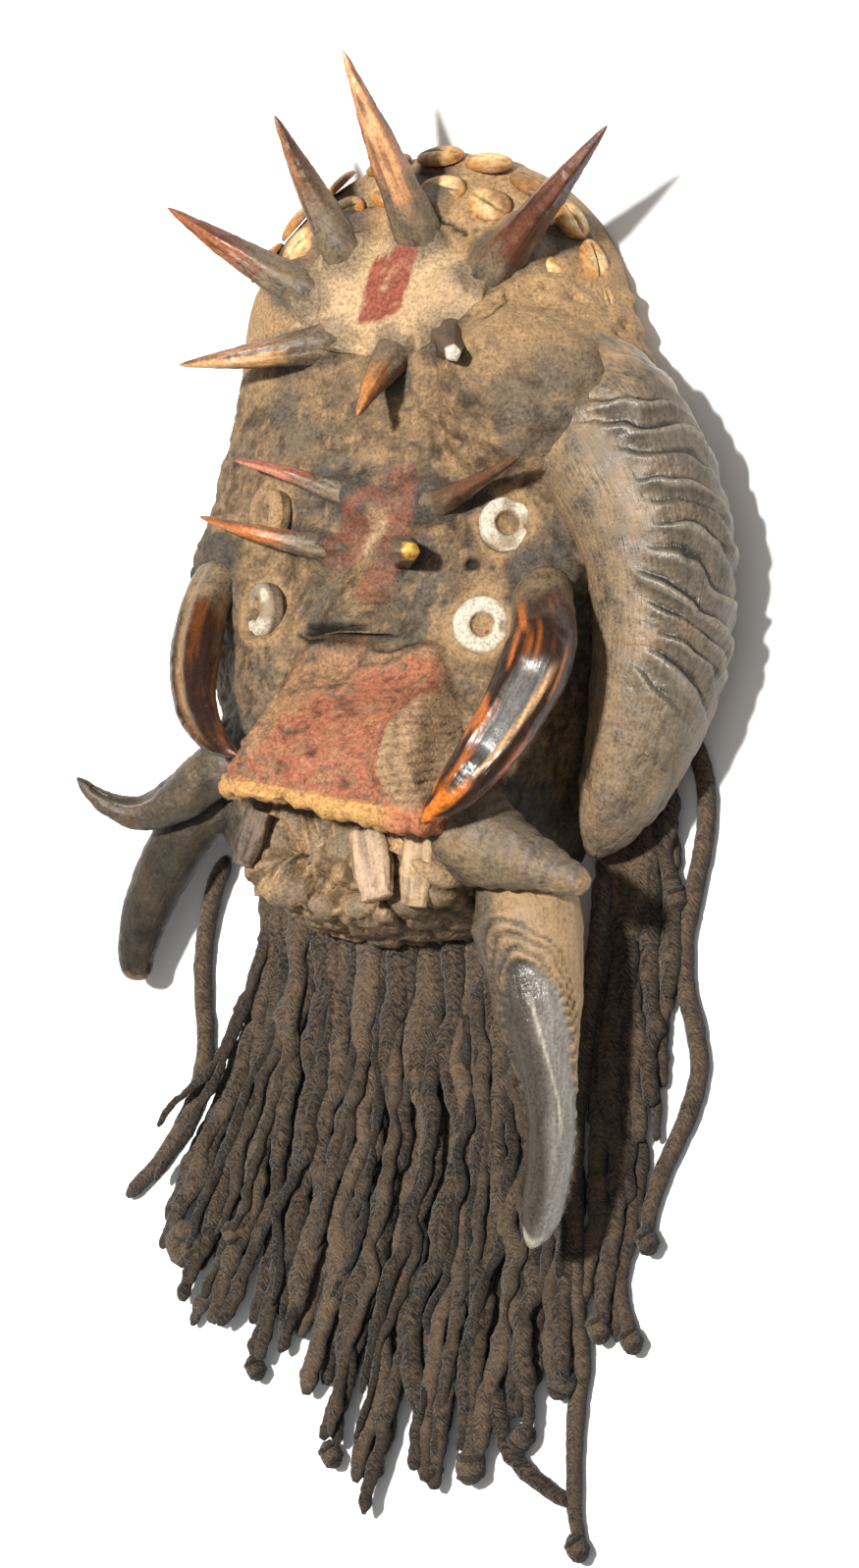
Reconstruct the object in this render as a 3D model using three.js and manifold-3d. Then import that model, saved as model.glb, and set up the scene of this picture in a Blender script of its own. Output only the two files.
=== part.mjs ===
// A horned face mask with a fibre beard, lying on its back.
// x runs to the viewer's right, y to the crown and z out of the face; all sizes are in millimetres.
import * as THREE from "three";
import { mergeVertices } from "three/addons/utils/BufferGeometryUtils.js";
import Module from "manifold-3d";

const wasm = await Module();
wasm.setup();

// Driving sizes of the carved head
const CROWN_Y = 182;
const CHIN_Y = -178;
const CROWN_ROUND = 85;
const CHIN_ROUND = 58;
const HALF_WIDTH = { chin: 82, cheek: 108, crown: 93 };
const CHEEK_Y = -10;
const MIDLINE_X = 4;
const MIDLINE_LEAN = 0.04;
const FACE_HEIGHT = 60;
const FACE_SLOPE = 0.12;
const WALL = 14;
const SIDE_SQUARENESS = 3;
const END_FLATNESS = 0.8;
const SHELL_ROWS = { chin: 7, muzzle: 7, face: 12, crown: 8 };
const SHELL_COLUMNS = 20;
const HOLLOW_COLUMNS = 8;
const JOINT_GROWTH = 0.4;
const CUTTER_DEPTH = 30;
const SURFACE_Z = 4.4;

// Driving sizes of what is set into the head
const SPIKE_SIDES = 6;
const HORN_SIDES = 9;
const TOOTH_SIDES = 6;
const TUSK_SIDES = 8;
const RAM_SIDES = 10;
const RING_RADIUS = 12.6;
const RING_HOLE_RADIUS = 4.6;
const RING_SEGMENTS = 10;
const RING_THICKNESS = 5;
const RING_BEVEL = 2.5;
const RING_HOLE_BEVEL = 1;
const COWRIE_LENGTH = 23;
const COWRIE_WIDTH = 15;
const COWRIE_HEIGHT = 8;
const COWRIE_NARROWING = 0.18;
const COWRIE_BACK = 0.1;
const STRAND_RADIUS = 4.1;
const STRAND_SIDES = 5;
const FREE_STRAND_SIDES = 8;
const FREE_STRAND_STEP = 22;

const COLOURS = {
  crust: 0x6b5a42,
  spike: 0x8a5a34,
  ring: 0xd8cfbe,
  tusk: 0x5a2c14,
  horn: 0x3f382e,
  ramHorn: 0x57524a,
  tooth: 0xa88462,
  shell: 0xdcb27c,
  fibre: 0x4b3e30,
};

const point = (x, y, z) => new THREE.Vector3(x, y, z);
const clamp01 = (value) => Math.min(1, Math.max(0, value));
const mix = (a, b, share) => a + (b - a) * share;

function smoothStep(low, high, value) {
  const share = clamp01((value - low) / (high - low));
  return share * share * (3 - 2 * share);
}

// A rounded mound: 1 in the middle, 0 past the edge, with a flat top of the given share
function mound(x, y, centreX, centreY, radiusX, radiusY, flat = 0) {
  const distance = Math.hypot((x - centreX) / radiusX, (y - centreY) / radiusY);
  return 1 - smoothStep(flat, 1, distance);
}

// The head's plain form
const CROWN_CENTRE_Y = CROWN_Y - CROWN_ROUND;
const CHIN_CENTRE_Y = CHIN_Y + CHIN_ROUND;

function midline(y) {
  return MIDLINE_X + MIDLINE_LEAN * y;
}

function endRounding(y) {
  if (y > CROWN_CENTRE_Y) {
    return Math.sqrt(Math.max(0, 1 - ((y - CROWN_CENTRE_Y) / CROWN_ROUND) ** 2));
  }
  if (y < CHIN_CENTRE_Y) {
    return Math.sqrt(Math.max(0, 1 - ((CHIN_CENTRE_Y - y) / CHIN_ROUND) ** 2));
  }
  return 1;
}

function halfWidth(y) {
  const towardsCrown = smoothStep(CHEEK_Y, CROWN_CENTRE_Y, y);
  const towardsChin = smoothStep(CHEEK_Y, CHIN_CENTRE_Y, y);
  const middle = mix(HALF_WIDTH.cheek, HALF_WIDTH.crown, towardsCrown);
  return mix(middle, HALF_WIDTH.chin, towardsChin) * endRounding(y);
}

function baseHeight(y) {
  return (FACE_HEIGHT - FACE_SLOPE * y) * endRounding(y) ** END_FLATNESS;
}

// The carving on the face, as a height added to the plain form
const BOSS = { x: 6, y: 112, radiusX: 46, radiusY: 27, height: 9, flat: 0.55 };
const BROW = { x: 0, y: 20, radiusX: 44, radiusY: 18, height: 6 };
const EYE_SOCKETS = [
  { x: -52, y: -12, radiusX: 30, radiusY: 34, height: -7 },
  { x: 52, y: -12, radiusX: 30, radiusY: 34, height: -7 },
];
const NOSE = { topY: 6, tipY: -38, topHalf: 8, wingHalf: 32, height: 17, lean: -6 };
const NOSE_EDGE = 7;
const MUZZLE = {
  rootY: -44,
  lipY: -115,
  rootHalf: 33,
  lipHalf: 54,
  sideSoftness: 5,
  rootHeight: 6,
  lipHeight: 36,
  riseFrom: 0.05,
  riseTo: 0.75,
  lean: -2,
  slant: 0.16,
};
const MUZZLE_ROOT = { from: MUZZLE.rootY - 2, to: MUZZLE.rootY + 4 };
const MOUTH = { x: 0, y: -137, radiusX: 50, radiusY: 22, height: -15, flat: 0.5 };
const MOUTH_EDGE = 6;
const JAW_ROLL = { y: -126, radiusX: 58, radiusY: 42, crest: 0.86, thickness: 13, height: 13 };
const JAW_ROLL_END = { from: JAW_ROLL.y - 12, to: JAW_ROLL.y + 8 };
const CHEEKS = [
  { x: 36, y: -88, radiusX: 18, radiusY: 34, height: 8, flat: 0.3 },
  { x: -58, y: -62, radiusX: 16, radiusY: 34, height: 6, flat: 0.3 },
];
const LIP_EDGE = 1;
const LIP_DROP = 5;
const LIP_SHEAR_REACH = 45;
const HORN_SEAT = { x: 74, y: 66, radiusX: 46, radiusY: 52, height: 12 };
const RIM_FADE = 0.5;
const END_FADE = 0.4;

function raised(form, x, y) {
  return form.height * mound(x, y, form.x, form.y, form.radiusX, form.radiusY, form.flat);
}

function noseHeight(x, y) {
  const down = clamp01((NOSE.topY - y) / (NOSE.topY - NOSE.tipY));
  const half = mix(NOSE.topHalf, NOSE.wingHalf, down);
  const ridge = 1 - smoothStep(0, half, Math.abs(x - NOSE.lean * down));
  const under = smoothStep(NOSE.tipY - NOSE_EDGE, NOSE.tipY, y);
  return NOSE.height * smoothStep(0, 1, down) * ridge * under;
}

function muzzleHeight(x, y) {
  const lipY = MUZZLE.lipY - MUZZLE.slant * x;
  const down = clamp01((MUZZLE.rootY - y) / (MUZZLE.rootY - lipY));
  const half = mix(MUZZLE.rootHalf, MUZZLE.lipHalf, down);
  const softness = MUZZLE.sideSoftness;
  const side = 1 - smoothStep(half - softness, half + softness, Math.abs(x - MUZZLE.lean * down));
  const climb = smoothStep(MUZZLE.riseFrom, MUZZLE.riseTo, down);
  const rise = mix(MUZZLE.rootHeight, MUZZLE.lipHeight, climb);
  const front = smoothStep(lipY - LIP_DROP, lipY + LIP_EDGE, y);
  const root = 1 - smoothStep(MUZZLE_ROOT.from, MUZZLE_ROOT.to, y);
  return rise * side * front * root;
}

function jawHeight(x, y) {
  const distance = Math.hypot(x / JAW_ROLL.radiusX, (y - JAW_ROLL.y) / JAW_ROLL.radiusY);
  const offset = (distance - JAW_ROLL.crest) * JAW_ROLL.radiusY;
  const below = 1 - smoothStep(JAW_ROLL_END.from, JAW_ROLL_END.to, y);
  return JAW_ROLL.height * (1 - smoothStep(0, JAW_ROLL.thickness, Math.abs(offset))) * below;
}

function carving(worldX, y) {
  const x = worldX - midline(y);
  const lipY = MUZZLE.lipY - MUZZLE.slant * x;
  const inMouth = 1 - smoothStep(lipY - MOUTH_EDGE, lipY, y);
  let height = raised(BOSS, worldX, y) + raised(BROW, x, y);
  for (const socket of EYE_SOCKETS) {
    height += raised(socket, x, y);
  }
  for (const cheek of CHEEKS) {
    height += raised(cheek, worldX, y);
  }
  height += raised(HORN_SEAT, worldX, y) + raised(MOUTH, x, y) * inMouth;
  return height + noseHeight(x, y) + muzzleHeight(x, y) + jawHeight(x, y);
}

// The rows of the shell from chin to crown, with one on each side of the lip and of the nose's underside
function shellRowPlaces() {
  const places = [];
  for (let row = 0; row <= SHELL_ROWS.chin; row += 1) {
    places.push(CHIN_CENTRE_Y - CHIN_ROUND * Math.cos(row / SHELL_ROWS.chin * Math.PI / 2));
  }
  const lip = MUZZLE.lipY + LIP_EDGE;
  const noseRoot = NOSE.tipY - NOSE_EDGE;
  for (let row = 0; row <= SHELL_ROWS.muzzle; row += 1) {
    places.push(mix(lip, noseRoot, row / SHELL_ROWS.muzzle));
  }
  for (let row = 0; row < SHELL_ROWS.face; row += 1) {
    places.push(mix(NOSE.tipY, CROWN_CENTRE_Y, row / SHELL_ROWS.face));
  }
  for (let row = 0; row <= SHELL_ROWS.crown; row += 1) {
    places.push(CROWN_CENTRE_Y + CROWN_ROUND * Math.sin(row / SHELL_ROWS.crown * Math.PI / 2));
  }
  return places;
}

// The wall thins to nothing over this share of the rounding at each end
const WALL_START = 0.35;

// A point of the shell at a row's place, where turn runs from the left rim (-1) to the right rim (1).
// Inset pulls the plain form inwards for the hollow, which is left uncarved.
function shellPoint(fullY, turn, inset) {
  const middleY = (CHIN_Y + CROWN_Y) / 2;
  const halfLength = (CROWN_Y - CHIN_Y) / 2;
  const y = middleY + (fullY - middleY) * (halfLength - inset) / halfLength;
  const wall = inset * smoothStep(0, WALL_START, endRounding(fullY));
  const width = Math.max(0, halfWidth(fullY) - wall);
  const height = Math.max(0, baseHeight(fullY) - wall);
  const angle = turn * Math.PI / 2;
  const across = Math.sign(turn) * Math.abs(Math.sin(angle)) ** (2 / SIDE_SQUARENESS);
  const upwards = Math.max(0, Math.cos(angle)) ** (2 / SIDE_SQUARENESS);
  const x = midline(fullY) + width * across;
  const slanted = inset > 0 ? 0 : lipShear(x, fullY) * upwards;
  const carved = inset > 0 ? 0 : carving(x, y + slanted) * carvingShare(upwards, fullY);
  return point(x, y + slanted, Math.max(0, height * upwards + carved));
}

// Rows near the lip follow its slant
function lipShear(x, y) {
  const near = 1 - smoothStep(0, LIP_SHEAR_REACH, Math.abs(y - MUZZLE.lipY));
  return -MUZZLE.slant * (x - midline(y)) * near;
}

// The carving fades out towards the rim
function carvingShare(upwards, y) {
  return smoothStep(0, RIM_FADE, upwards) * smoothStep(0, END_FADE, endRounding(y));
}

// Columns stand closer together near the midline
const COLUMN_CROWDING = { power: 1.5, share: 0.4 };

function columnTurn(column, columns) {
  const even = column / columns * 2 - 1;
  return mix(even, Math.sign(even) * Math.abs(even) ** COLUMN_CROWDING.power, COLUMN_CROWDING.share);
}

// Closed meshes are gathered as corners and triangles, and equal corners are merged
class MeshMaker {
  constructor() {
    this.corners = [];
  }

  triangle(a, b, c) {
    for (const corner of [a, b, c]) {
      this.corners.push(corner.x, corner.y, corner.z);
    }
  }

  quad(a, b, c, d) {
    this.triangle(a, b, c);
    this.triangle(a, c, d);
  }

  geometry() {
    const loose = new THREE.BufferGeometry();
    loose.setAttribute("position", new THREE.Float32BufferAttribute(this.corners, 3));
    const merged = mergeVertices(loose, 1e-3);
    const order = Array.from(merged.index.array);
    const kept = [];
    for (let i = 0; i < order.length; i += 3) {
      const [a, b, c] = order.slice(i, i + 3);
      if (a !== b && b !== c && c !== a) {
        kept.push(a, b, c);
      }
    }
    merged.setIndex(kept);
    return merged;
  }
}

function gridFaces(maker, grid, inwards) {
  for (let row = 0; row + 1 < grid.length; row += 1) {
    for (let column = 0; column + 1 < grid[row].length; column += 1) {
      const corners = [
        grid[row][column], grid[row][column + 1], grid[row + 1][column + 1], grid[row + 1][column],
      ];
      if (inwards) {
        corners.reverse();
      }
      maker.quad(...corners);
    }
  }
}

function shellGrid(columns, inset) {
  return shellRowPlaces().map((y) => {
    const line = [];
    for (let column = 0; column <= columns; column += 1) {
      line.push(shellPoint(y, columnTurn(column, columns), inset));
    }
    return line;
  });
}

// The rim is the flat band that the mask lies on, between the outer and the inner edge
function rimFaces(maker, outer, inner) {
  for (let row = 0; row + 1 < outer.length; row += 1) {
    const [low, high] = [outer[row], outer[row + 1]];
    const [lowInner, highInner] = [inner[row], inner[row + 1]];
    maker.quad(low[0], high[0], highInner[0], lowInner[0]);
    maker.quad(lowInner.at(-1), highInner.at(-1), high.at(-1), low.at(-1));
  }
}

function buildShell() {
  const maker = new MeshMaker();
  const outer = shellGrid(SHELL_COLUMNS, 0);
  const inner = shellGrid(HOLLOW_COLUMNS, WALL);
  gridFaces(maker, outer, false);
  gridFaces(maker, inner, true);
  rimFaces(maker, outer, inner);
  return maker.geometry();
}

// The filled and slightly grown head, which cuts the seat of each piece that is set on it
function buildHeadCutter() {
  const maker = new MeshMaker();
  const outer = shellGrid(SHELL_COLUMNS, 0);
  const sunk = ({ x, y }) => point(x, y, -CUTTER_DEPTH);
  const floor = outer.map((line) => [sunk(line.at(0)), sunk(line.at(-1))]);
  gridFaces(maker, outer, false);
  gridFaces(maker, floor, true);
  for (let row = 0; row + 1 < outer.length; row += 1) {
    const last = outer[row].length - 1;
    maker.quad(outer[row][0], outer[row + 1][0], floor[row + 1][0], floor[row][0]);
    maker.quad(outer[row + 1][last], outer[row][last], floor[row][1], floor[row + 1][1]);
  }
  return grown(maker.geometry(), JOINT_GROWTH);
}

function grown(geometry, distance) {
  geometry.computeVertexNormals();
  const position = geometry.attributes.position;
  const normal = geometry.attributes.normal;
  for (let i = 0; i < position.count; i += 1) {
    position.setXYZ(
      i,
      position.getX(i) + normal.getX(i) * distance,
      position.getY(i) + normal.getY(i) * distance,
      position.getZ(i) + normal.getZ(i) * distance,
    );
  }
  geometry.deleteAttribute("normal");
  return geometry;
}

function toManifold(geometry) {
  return new wasm.Manifold(new wasm.Mesh({
    numProp: 3,
    vertProperties: new Float32Array(geometry.attributes.position.array),
    triVerts: new Uint32Array(geometry.index.array),
  }));
}

// The largest closed body of a cut result, as a geometry
function toGeometry(solid) {
  const bodies = solid.decompose();
  bodies.sort((a, b) => b.volume() - a.volume());
  const mesh = bodies[0].getMesh();
  const geometry = new THREE.BufferGeometry();
  geometry.setAttribute("position", new THREE.Float32BufferAttribute(mesh.vertProperties, 3));
  geometry.setIndex(Array.from(mesh.triVerts));
  return geometry;
}

const headCutter = toManifold(buildHeadCutter());

// Horns and spikes that are already in place, slightly grown
const placed = [];

function clearOfPlaced(solid) {
  return toGeometry(placed.reduce((rest, other) => rest.subtract(other), solid));
}

// A piece cut to fit the head and what is already set into it
function seated(geometry) {
  return clearOfPlaced(toManifold(geometry).subtract(headCutter));
}

// The height and outward normal of the head at a place on the face
function headHeight(x, y) {
  const share = clamp01(Math.abs(x - midline(y)) / Math.max(1, halfWidth(y)));
  const upwards = Math.max(0, 1 - share ** SIDE_SQUARENESS) ** (1 / SIDE_SQUARENESS);
  return baseHeight(y) * upwards + carving(x, y) * carvingShare(upwards, y);
}

function headNormal(x, y, reach = 8) {
  const slopeX = (headHeight(x + reach, y) - headHeight(x - reach, y)) / (2 * reach);
  const slopeY = (headHeight(x, y + reach) - headHeight(x, y - reach)) / (2 * reach);
  return point(-slopeX, -slopeY, 1).normalize();
}

// How far a body runs on past its last ring, where it ends blunt and where it ends in a point
const BLUNT_CAP = 0.5;
const POINTED_CAP = 1.5;

// A tapered body along a smooth curve; each station is a share of the length, a half width and a half depth
function taperedBody(path, stations, sides, options = {}) {
  const { steps = 8, ridge = 0, ridges = 0, bluntEnd = false, startTurn = 0 } = options;
  const side = point(0, 0, 1);
  const curve = new THREE.CatmullRomCurve3(path.map((corner) => point(...corner)));
  const maker = new MeshMaker();
  const rings = [];
  for (let step = 0; step <= steps; step += 1) {
    const share = step / steps;
    const centre = curve.getPointAt(share);
    const forward = curve.getTangentAt(share);
    const widthAxis = new THREE.Vector3().crossVectors(forward, side).normalize();
    const depthAxis = new THREE.Vector3().crossVectors(forward, widthAxis).normalize();
    const [halfWide, halfDeep] = sizeAt(stations, share);
    const swell = 1 + ridge * (step % 2 === 0 ? 1 : -1) * (share < ridges ? 1 : 0);
    const ring = [];
    for (let corner = 0; corner < sides; corner += 1) {
      const angle = startTurn + corner / sides * 2 * Math.PI;
      ring.push(centre.clone()
        .addScaledVector(widthAxis, Math.cos(angle) * halfWide * swell)
        .addScaledVector(depthAxis, Math.sin(angle) * halfDeep * swell));
    }
    rings.push(ring);
  }
  const start = curve.getPointAt(0);
  const cap = bluntEnd ? BLUNT_CAP : POINTED_CAP;
  const end = curve.getPointAt(1).addScaledVector(curve.getTangentAt(1), cap);
  closeRings(maker, rings, start, end);
  return maker.geometry();
}

function sizeAt(stations, share) {
  let index = 0;
  while (index + 2 < stations.length && stations[index + 1][0] < share) {
    index += 1;
  }
  const [low, high] = [stations[index], stations[index + 1]];
  const part = clamp01((share - low[0]) / (high[0] - low[0]));
  const wide = mix(low[1], high[1], part);
  const deep = mix(low[2] ?? low[1], high[2] ?? high[1], part);
  return [wide, deep];
}

function closeRings(maker, rings, start, end) {
  const sides = rings[0].length;
  for (let corner = 0; corner < sides; corner += 1) {
    const next = (corner + 1) % sides;
    maker.triangle(start, rings[0][next], rings[0][corner]);
    for (let index = 0; index + 1 < rings.length; index += 1) {
      const [low, high] = [rings[index], rings[index + 1]];
      maker.quad(low[corner], low[next], high[next], high[corner]);
    }
    const last = rings[rings.length - 1];
    maker.triangle(end, last[corner], last[next]);
  }
}

const mask = new THREE.Group();

function addPiece(name, geometry, colour, roughness = 0.85) {
  const material = new THREE.MeshStandardMaterial({ color: colour, roughness, metalness: 0 });
  const mesh = new THREE.Mesh(geometry, material);
  mesh.name = name;
  mask.add(mesh);
  return mesh;
}

addPiece("mask_shell", buildShell(), COLOURS.crust, 0.95);

// Horns and tusks: a centre line from root to tip, and stations of half width and half depth along it
const HORNS = {
  ram_horn: {
    path: [
      [62, 78, 44], [92, 60, 42], [112, 33, 40], [125, 0, 38],
      [127, -38, 37], [120, -76, 36], [107, -108, 33], [92, -136, 29],
    ],
    stations: [[0, 28, 22], [0.15, 37, 27], [0.4, 34, 27], [0.7, 28, 24], [0.88, 19, 18], [1, 7, 7]],
    sides: RAM_SIDES,
    steps: 18,
    ridge: 0.035,
    ridges: 0.72,
    colour: COLOURS.ramHorn,
  },
  cone_horn_right: {
    path: [[42, -114, 76], [62, -128, 82], [88, -137, 86], [114, -147, 90]],
    stations: [[0, 22, 18], [0.3, 21, 17], [0.65, 12, 11], [1, 5, 5]],
    steps: 6,
    bluntEnd: true,
  },
  long_horn_right: {
    path: [[62, -136, 62], [74, -162, 62], [83, -208, 66], [87, -251, 64], [79, -290, 56], [72, -306, 51]],
    stations: [
      [0, 18, 15], [0.15, 24, 19], [0.38, 18, 15], [0.55, 11.5, 11],
      [0.72, 10.5, 10], [0.9, 9.5, 9], [1, 4, 4],
    ],
    steps: 10,
  },
  hook_horn_left: {
    path: [
      [-56, -92, 58], [-80, -99, 59], [-94, -108, 58], [-108, -115, 57],
      [-120, -117, 58], [-132, -113, 61], [-140, -107, 64], [-146, -101, 66],
    ],
    stations: [[0, 17, 14], [0.25, 13, 12], [0.5, 10.5, 10], [0.68, 7.5, 7], [0.85, 5, 5], [1, 1.5, 1.5]],
    steps: 9,
  },
  blade_horn_left: {
    path: [
      [-72, -110, 38], [-95, -117, 37], [-117, -141, 33], [-131, -164, 28], [-138, -183, 24], [-139, -196, 22],
    ],
    stations: [[0, 14, 11], [0.2, 14, 12], [0.47, 13.5, 11], [0.71, 12, 9], [0.88, 9.5, 7.5], [1, 7, 5]],
    steps: 8,
    bluntEnd: true,
  },
  tusk_right: {
    path: [[76, -14, 46], [84, -26, 68], [92, -46, 88], [84, -76, 104], [68, -102, 114], [49, -120, 116]],
    stations: [[0, 11, 9], [0.15, 14, 11], [0.45, 16, 12], [0.7, 13, 9], [0.88, 9, 6], [1, 2, 2]],
    colour: COLOURS.tusk,
    sides: TUSK_SIDES,
    steps: 10,
  },
  tusk_left: {
    path: [[-82, -2, 34], [-84, -14, 50], [-82, -42, 70], [-74, -68, 86], [-60, -84, 96], [-44, -92, 102]],
    stations: [[0, 10, 8], [0.15, 11, 9], [0.45, 12, 10], [0.7, 10, 7], [0.88, 6, 5], [1, 1.5, 1.5]],
    colour: COLOURS.tusk,
    sides: TUSK_SIDES,
    steps: 10,
  },
};

const crownSpikes = [
  { root: [-34, 114, 44], bend: [-70, 137, 62], tip: [-98, 156, 68], half: 10.5 },
  { root: [-20, 132, 42], bend: [-31, 164, 62], tip: [-39, 191, 78], half: 10.5 },
  { root: [17, 136, 42], bend: [9, 176, 70], tip: [0, 214, 90], half: 11 },
  { root: [48, 120, 42], bend: [86, 147, 66], tip: [118, 174, 78], half: 11 },
  { root: [-22, 94, 48], bend: [-58, 87, 66], tip: [-90, 84, 72], half: 9 },
  { root: [8, 88, 50], bend: [8, 70, 76], tip: [7, 55, 90], half: 9 },
  { root: [34, 92, 46], bend: [44, 86, 74], tip: [54, 79, 94], half: 11, bluntTip: 3 },
];
const browSpikes = {
  brow_spike_upper_left: { root: [-2, 20, 58], bend: [-35, 33, 70], tip: [-63, 41, 72], half: 6 },
  brow_spike_lower_left: { root: [-18, 0, 60], bend: [-50, 7, 70], tip: [-81, 16, 69], half: 6 },
  brow_spike_right: { root: [24, 16, 58], bend: [54, 25, 74], tip: [81, 35, 86], half: 6.5 },
  bridge_peg: { root: [14, -2, 56], bend: [22, -3, 74], tip: [31, -4, 86], half: 8.5, bluntTip: 4 },
};

// The half width of a spike from its root on, as a share of the given half width
const SPIKE_TAPER = { root: 1.25, quarter: 1, upper: 0.68 };
const SPIKE_UPPER = 0.6;
const SPIKE_STEPS = 4;

function spike({ root, bend, tip, half, bluntTip = 1 }) {
  const stations = [
    [0, half * SPIKE_TAPER.root], [0.25, half * SPIKE_TAPER.quarter],
    [SPIKE_UPPER, half * SPIKE_TAPER.upper], [1, bluntTip],
  ];
  return taperedBody([root, bend, tip], stations, SPIKE_SIDES, { steps: SPIKE_STEPS });
}

function setIn(name, body, colour, roughness) {
  addPiece(name, seated(body), colour, roughness);
  placed.push(toManifold(grown(body, JOINT_GROWTH)));
}

for (const [name, horn] of Object.entries(HORNS)) {
  const body = taperedBody(horn.path, horn.stations, horn.sides ?? HORN_SIDES, horn);
  setIn(name, body, horn.colour ?? COLOURS.horn, 0.5);
}
crownSpikes.forEach((sizes, index) => setIn(`crown_spike_${index + 1}`, spike(sizes), COLOURS.spike));
for (const [name, sizes] of Object.entries(browSpikes)) {
  setIn(name, spike(sizes), COLOURS.spike);
}

// A small piece is moved outwards until it clears the head
const LIFT_STEP = 0.25;
const TOUCHING_VOLUME = 1e-6;

function restedOnHead(geometry, normal) {
  const step = normal.clone().multiplyScalar(LIFT_STEP);
  while (toManifold(geometry).intersect(headCutter).volume() > TOUCHING_VOLUME) {
    geometry.translate(step.x, step.y, step.z);
  }
  return geometry;
}

// A chalk ring with a shallow well, turned on its own axis and then set on the head
function eyeRing() {
  const shoulder = RING_THICKNESS - RING_BEVEL;
  const profile = [
    new THREE.Vector2(0, -RING_THICKNESS),
    new THREE.Vector2(RING_RADIUS, -RING_THICKNESS),
    new THREE.Vector2(RING_RADIUS, shoulder),
    new THREE.Vector2(RING_RADIUS - RING_BEVEL, RING_THICKNESS),
    new THREE.Vector2(RING_HOLE_RADIUS + RING_HOLE_BEVEL, RING_THICKNESS),
    new THREE.Vector2(RING_HOLE_RADIUS, shoulder),
    new THREE.Vector2(0, shoulder),
  ];
  const turned = new THREE.LatheGeometry(profile, RING_SEGMENTS);
  turned.rotateX(Math.PI / 2);
  return turned;
}

function cleaned(geometry) {
  const bare = geometry.index ? geometry.toNonIndexed() : geometry;
  const maker = new MeshMaker();
  maker.corners = Array.from(bare.attributes.position.array);
  return maker.geometry();
}

function setOnHead(geometry, x, y, lift, normal = headNormal(x, y), spin = 0) {
  const turn = new THREE.Quaternion().setFromUnitVectors(point(0, 0, 1), normal);
  geometry.rotateZ(spin);
  geometry.applyQuaternion(turn);
  const place = point(x, y, headHeight(x, y)).addScaledVector(normal, lift);
  geometry.translate(place.x, place.y, place.z);
  return geometry;
}

const eyeRings = {
  eye_ring_upper_right: { x: 62, y: 9, normal: point(0.42, 0.1, 0.9) },
  eye_ring_lower_right: { x: 53, y: -35, normal: point(0.38, 0.05, 0.92) },
  eye_ring_upper_left: { x: -52, y: 16, normal: point(-0.72, 0.1, 0.68) },
  eye_ring_lower_left: { x: -56, y: -26, normal: point(-0.66, 0.02, 0.75) },
};
for (const [name, { x, y, normal }] of Object.entries(eyeRings)) {
  const ring = setOnHead(cleaned(eyeRing()), x, y, 0, normal.normalize());
  addPiece(name, seated(ring), COLOURS.ring, 0.95);
}

// Teeth: rough pegs between the muzzle and the jaw
const teeth = {
  tooth_left: { top: [-43, -116, 84], bottom: [-50, -141, 88], half: [7, 4.5] },
  tooth_middle: { top: [9, -124, 84], bottom: [18, -154, 92], half: [10, 5] },
  tooth_right: { top: [37, -126, 87], bottom: [34, -157, 90], half: [8, 4.5] },
};
const TOOTH_NECK = 0.85;
const TOOTH_END = 0.7;
for (const [name, { top, bottom, half: [wide, deep] }] of Object.entries(teeth)) {
  const middle = top.map((value, axis) => (value + bottom[axis]) / 2);
  const stations = [
    [0, wide * TOOTH_NECK, deep], [0.5, wide, deep], [1, wide * TOOTH_END, deep * TOOTH_END],
  ];
  const peg = taperedBody([top, middle, bottom], stations, TOOTH_SIDES, { steps: 3, bluntEnd: true });
  addPiece(name, seated(peg), COLOURS.tooth);
}

// Cowries: a shell with a flat back and a domed face, set along arcs round the crown
function cowrie() {
  const dome = new THREE.SphereGeometry(1, 6, 4);
  dome.rotateX(Math.PI / 2);
  const position = dome.attributes.position;
  for (let i = 0; i < position.count; i += 1) {
    const narrowing = 1 - COWRIE_NARROWING * position.getX(i);
    const height = Math.max(-COWRIE_BACK, position.getZ(i));
    position.setXYZ(
      i,
      position.getX(i) * COWRIE_LENGTH / 2,
      position.getY(i) * narrowing * COWRIE_WIDTH / 2,
      height * COWRIE_HEIGHT,
    );
  }
  return cleaned(dome);
}

const cowrieRows = [
  { count: 10, reach: 0.95, from: 4, to: 152 },
  { count: 8, reach: 0.76, from: -2, to: 140 },
];
let cowrieNumber = 0;
for (const row of cowrieRows) {
  for (let index = 0; index < row.count; index += 1) {
    cowrieNumber += 1;
    const angle = THREE.MathUtils.degToRad(mix(row.from, row.to, index / (row.count - 1)));
    const x = midline(CROWN_CENTRE_Y) + Math.cos(angle) * HALF_WIDTH.crown * row.reach;
    const y = CROWN_CENTRE_Y + Math.sin(angle) * CROWN_ROUND * row.reach;
    const body = setOnHead(cowrie(), x, y, 0, headNormal(x, y), angle + Math.PI / 2);
    const name = `cowrie_${String(cowrieNumber).padStart(2, "0")}`;
    const rested = restedOnHead(body, headNormal(x, y));
    addPiece(name, clearOfPlaced(toManifold(rested)), COLOURS.shell, 0.3);
  }
}

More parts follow.
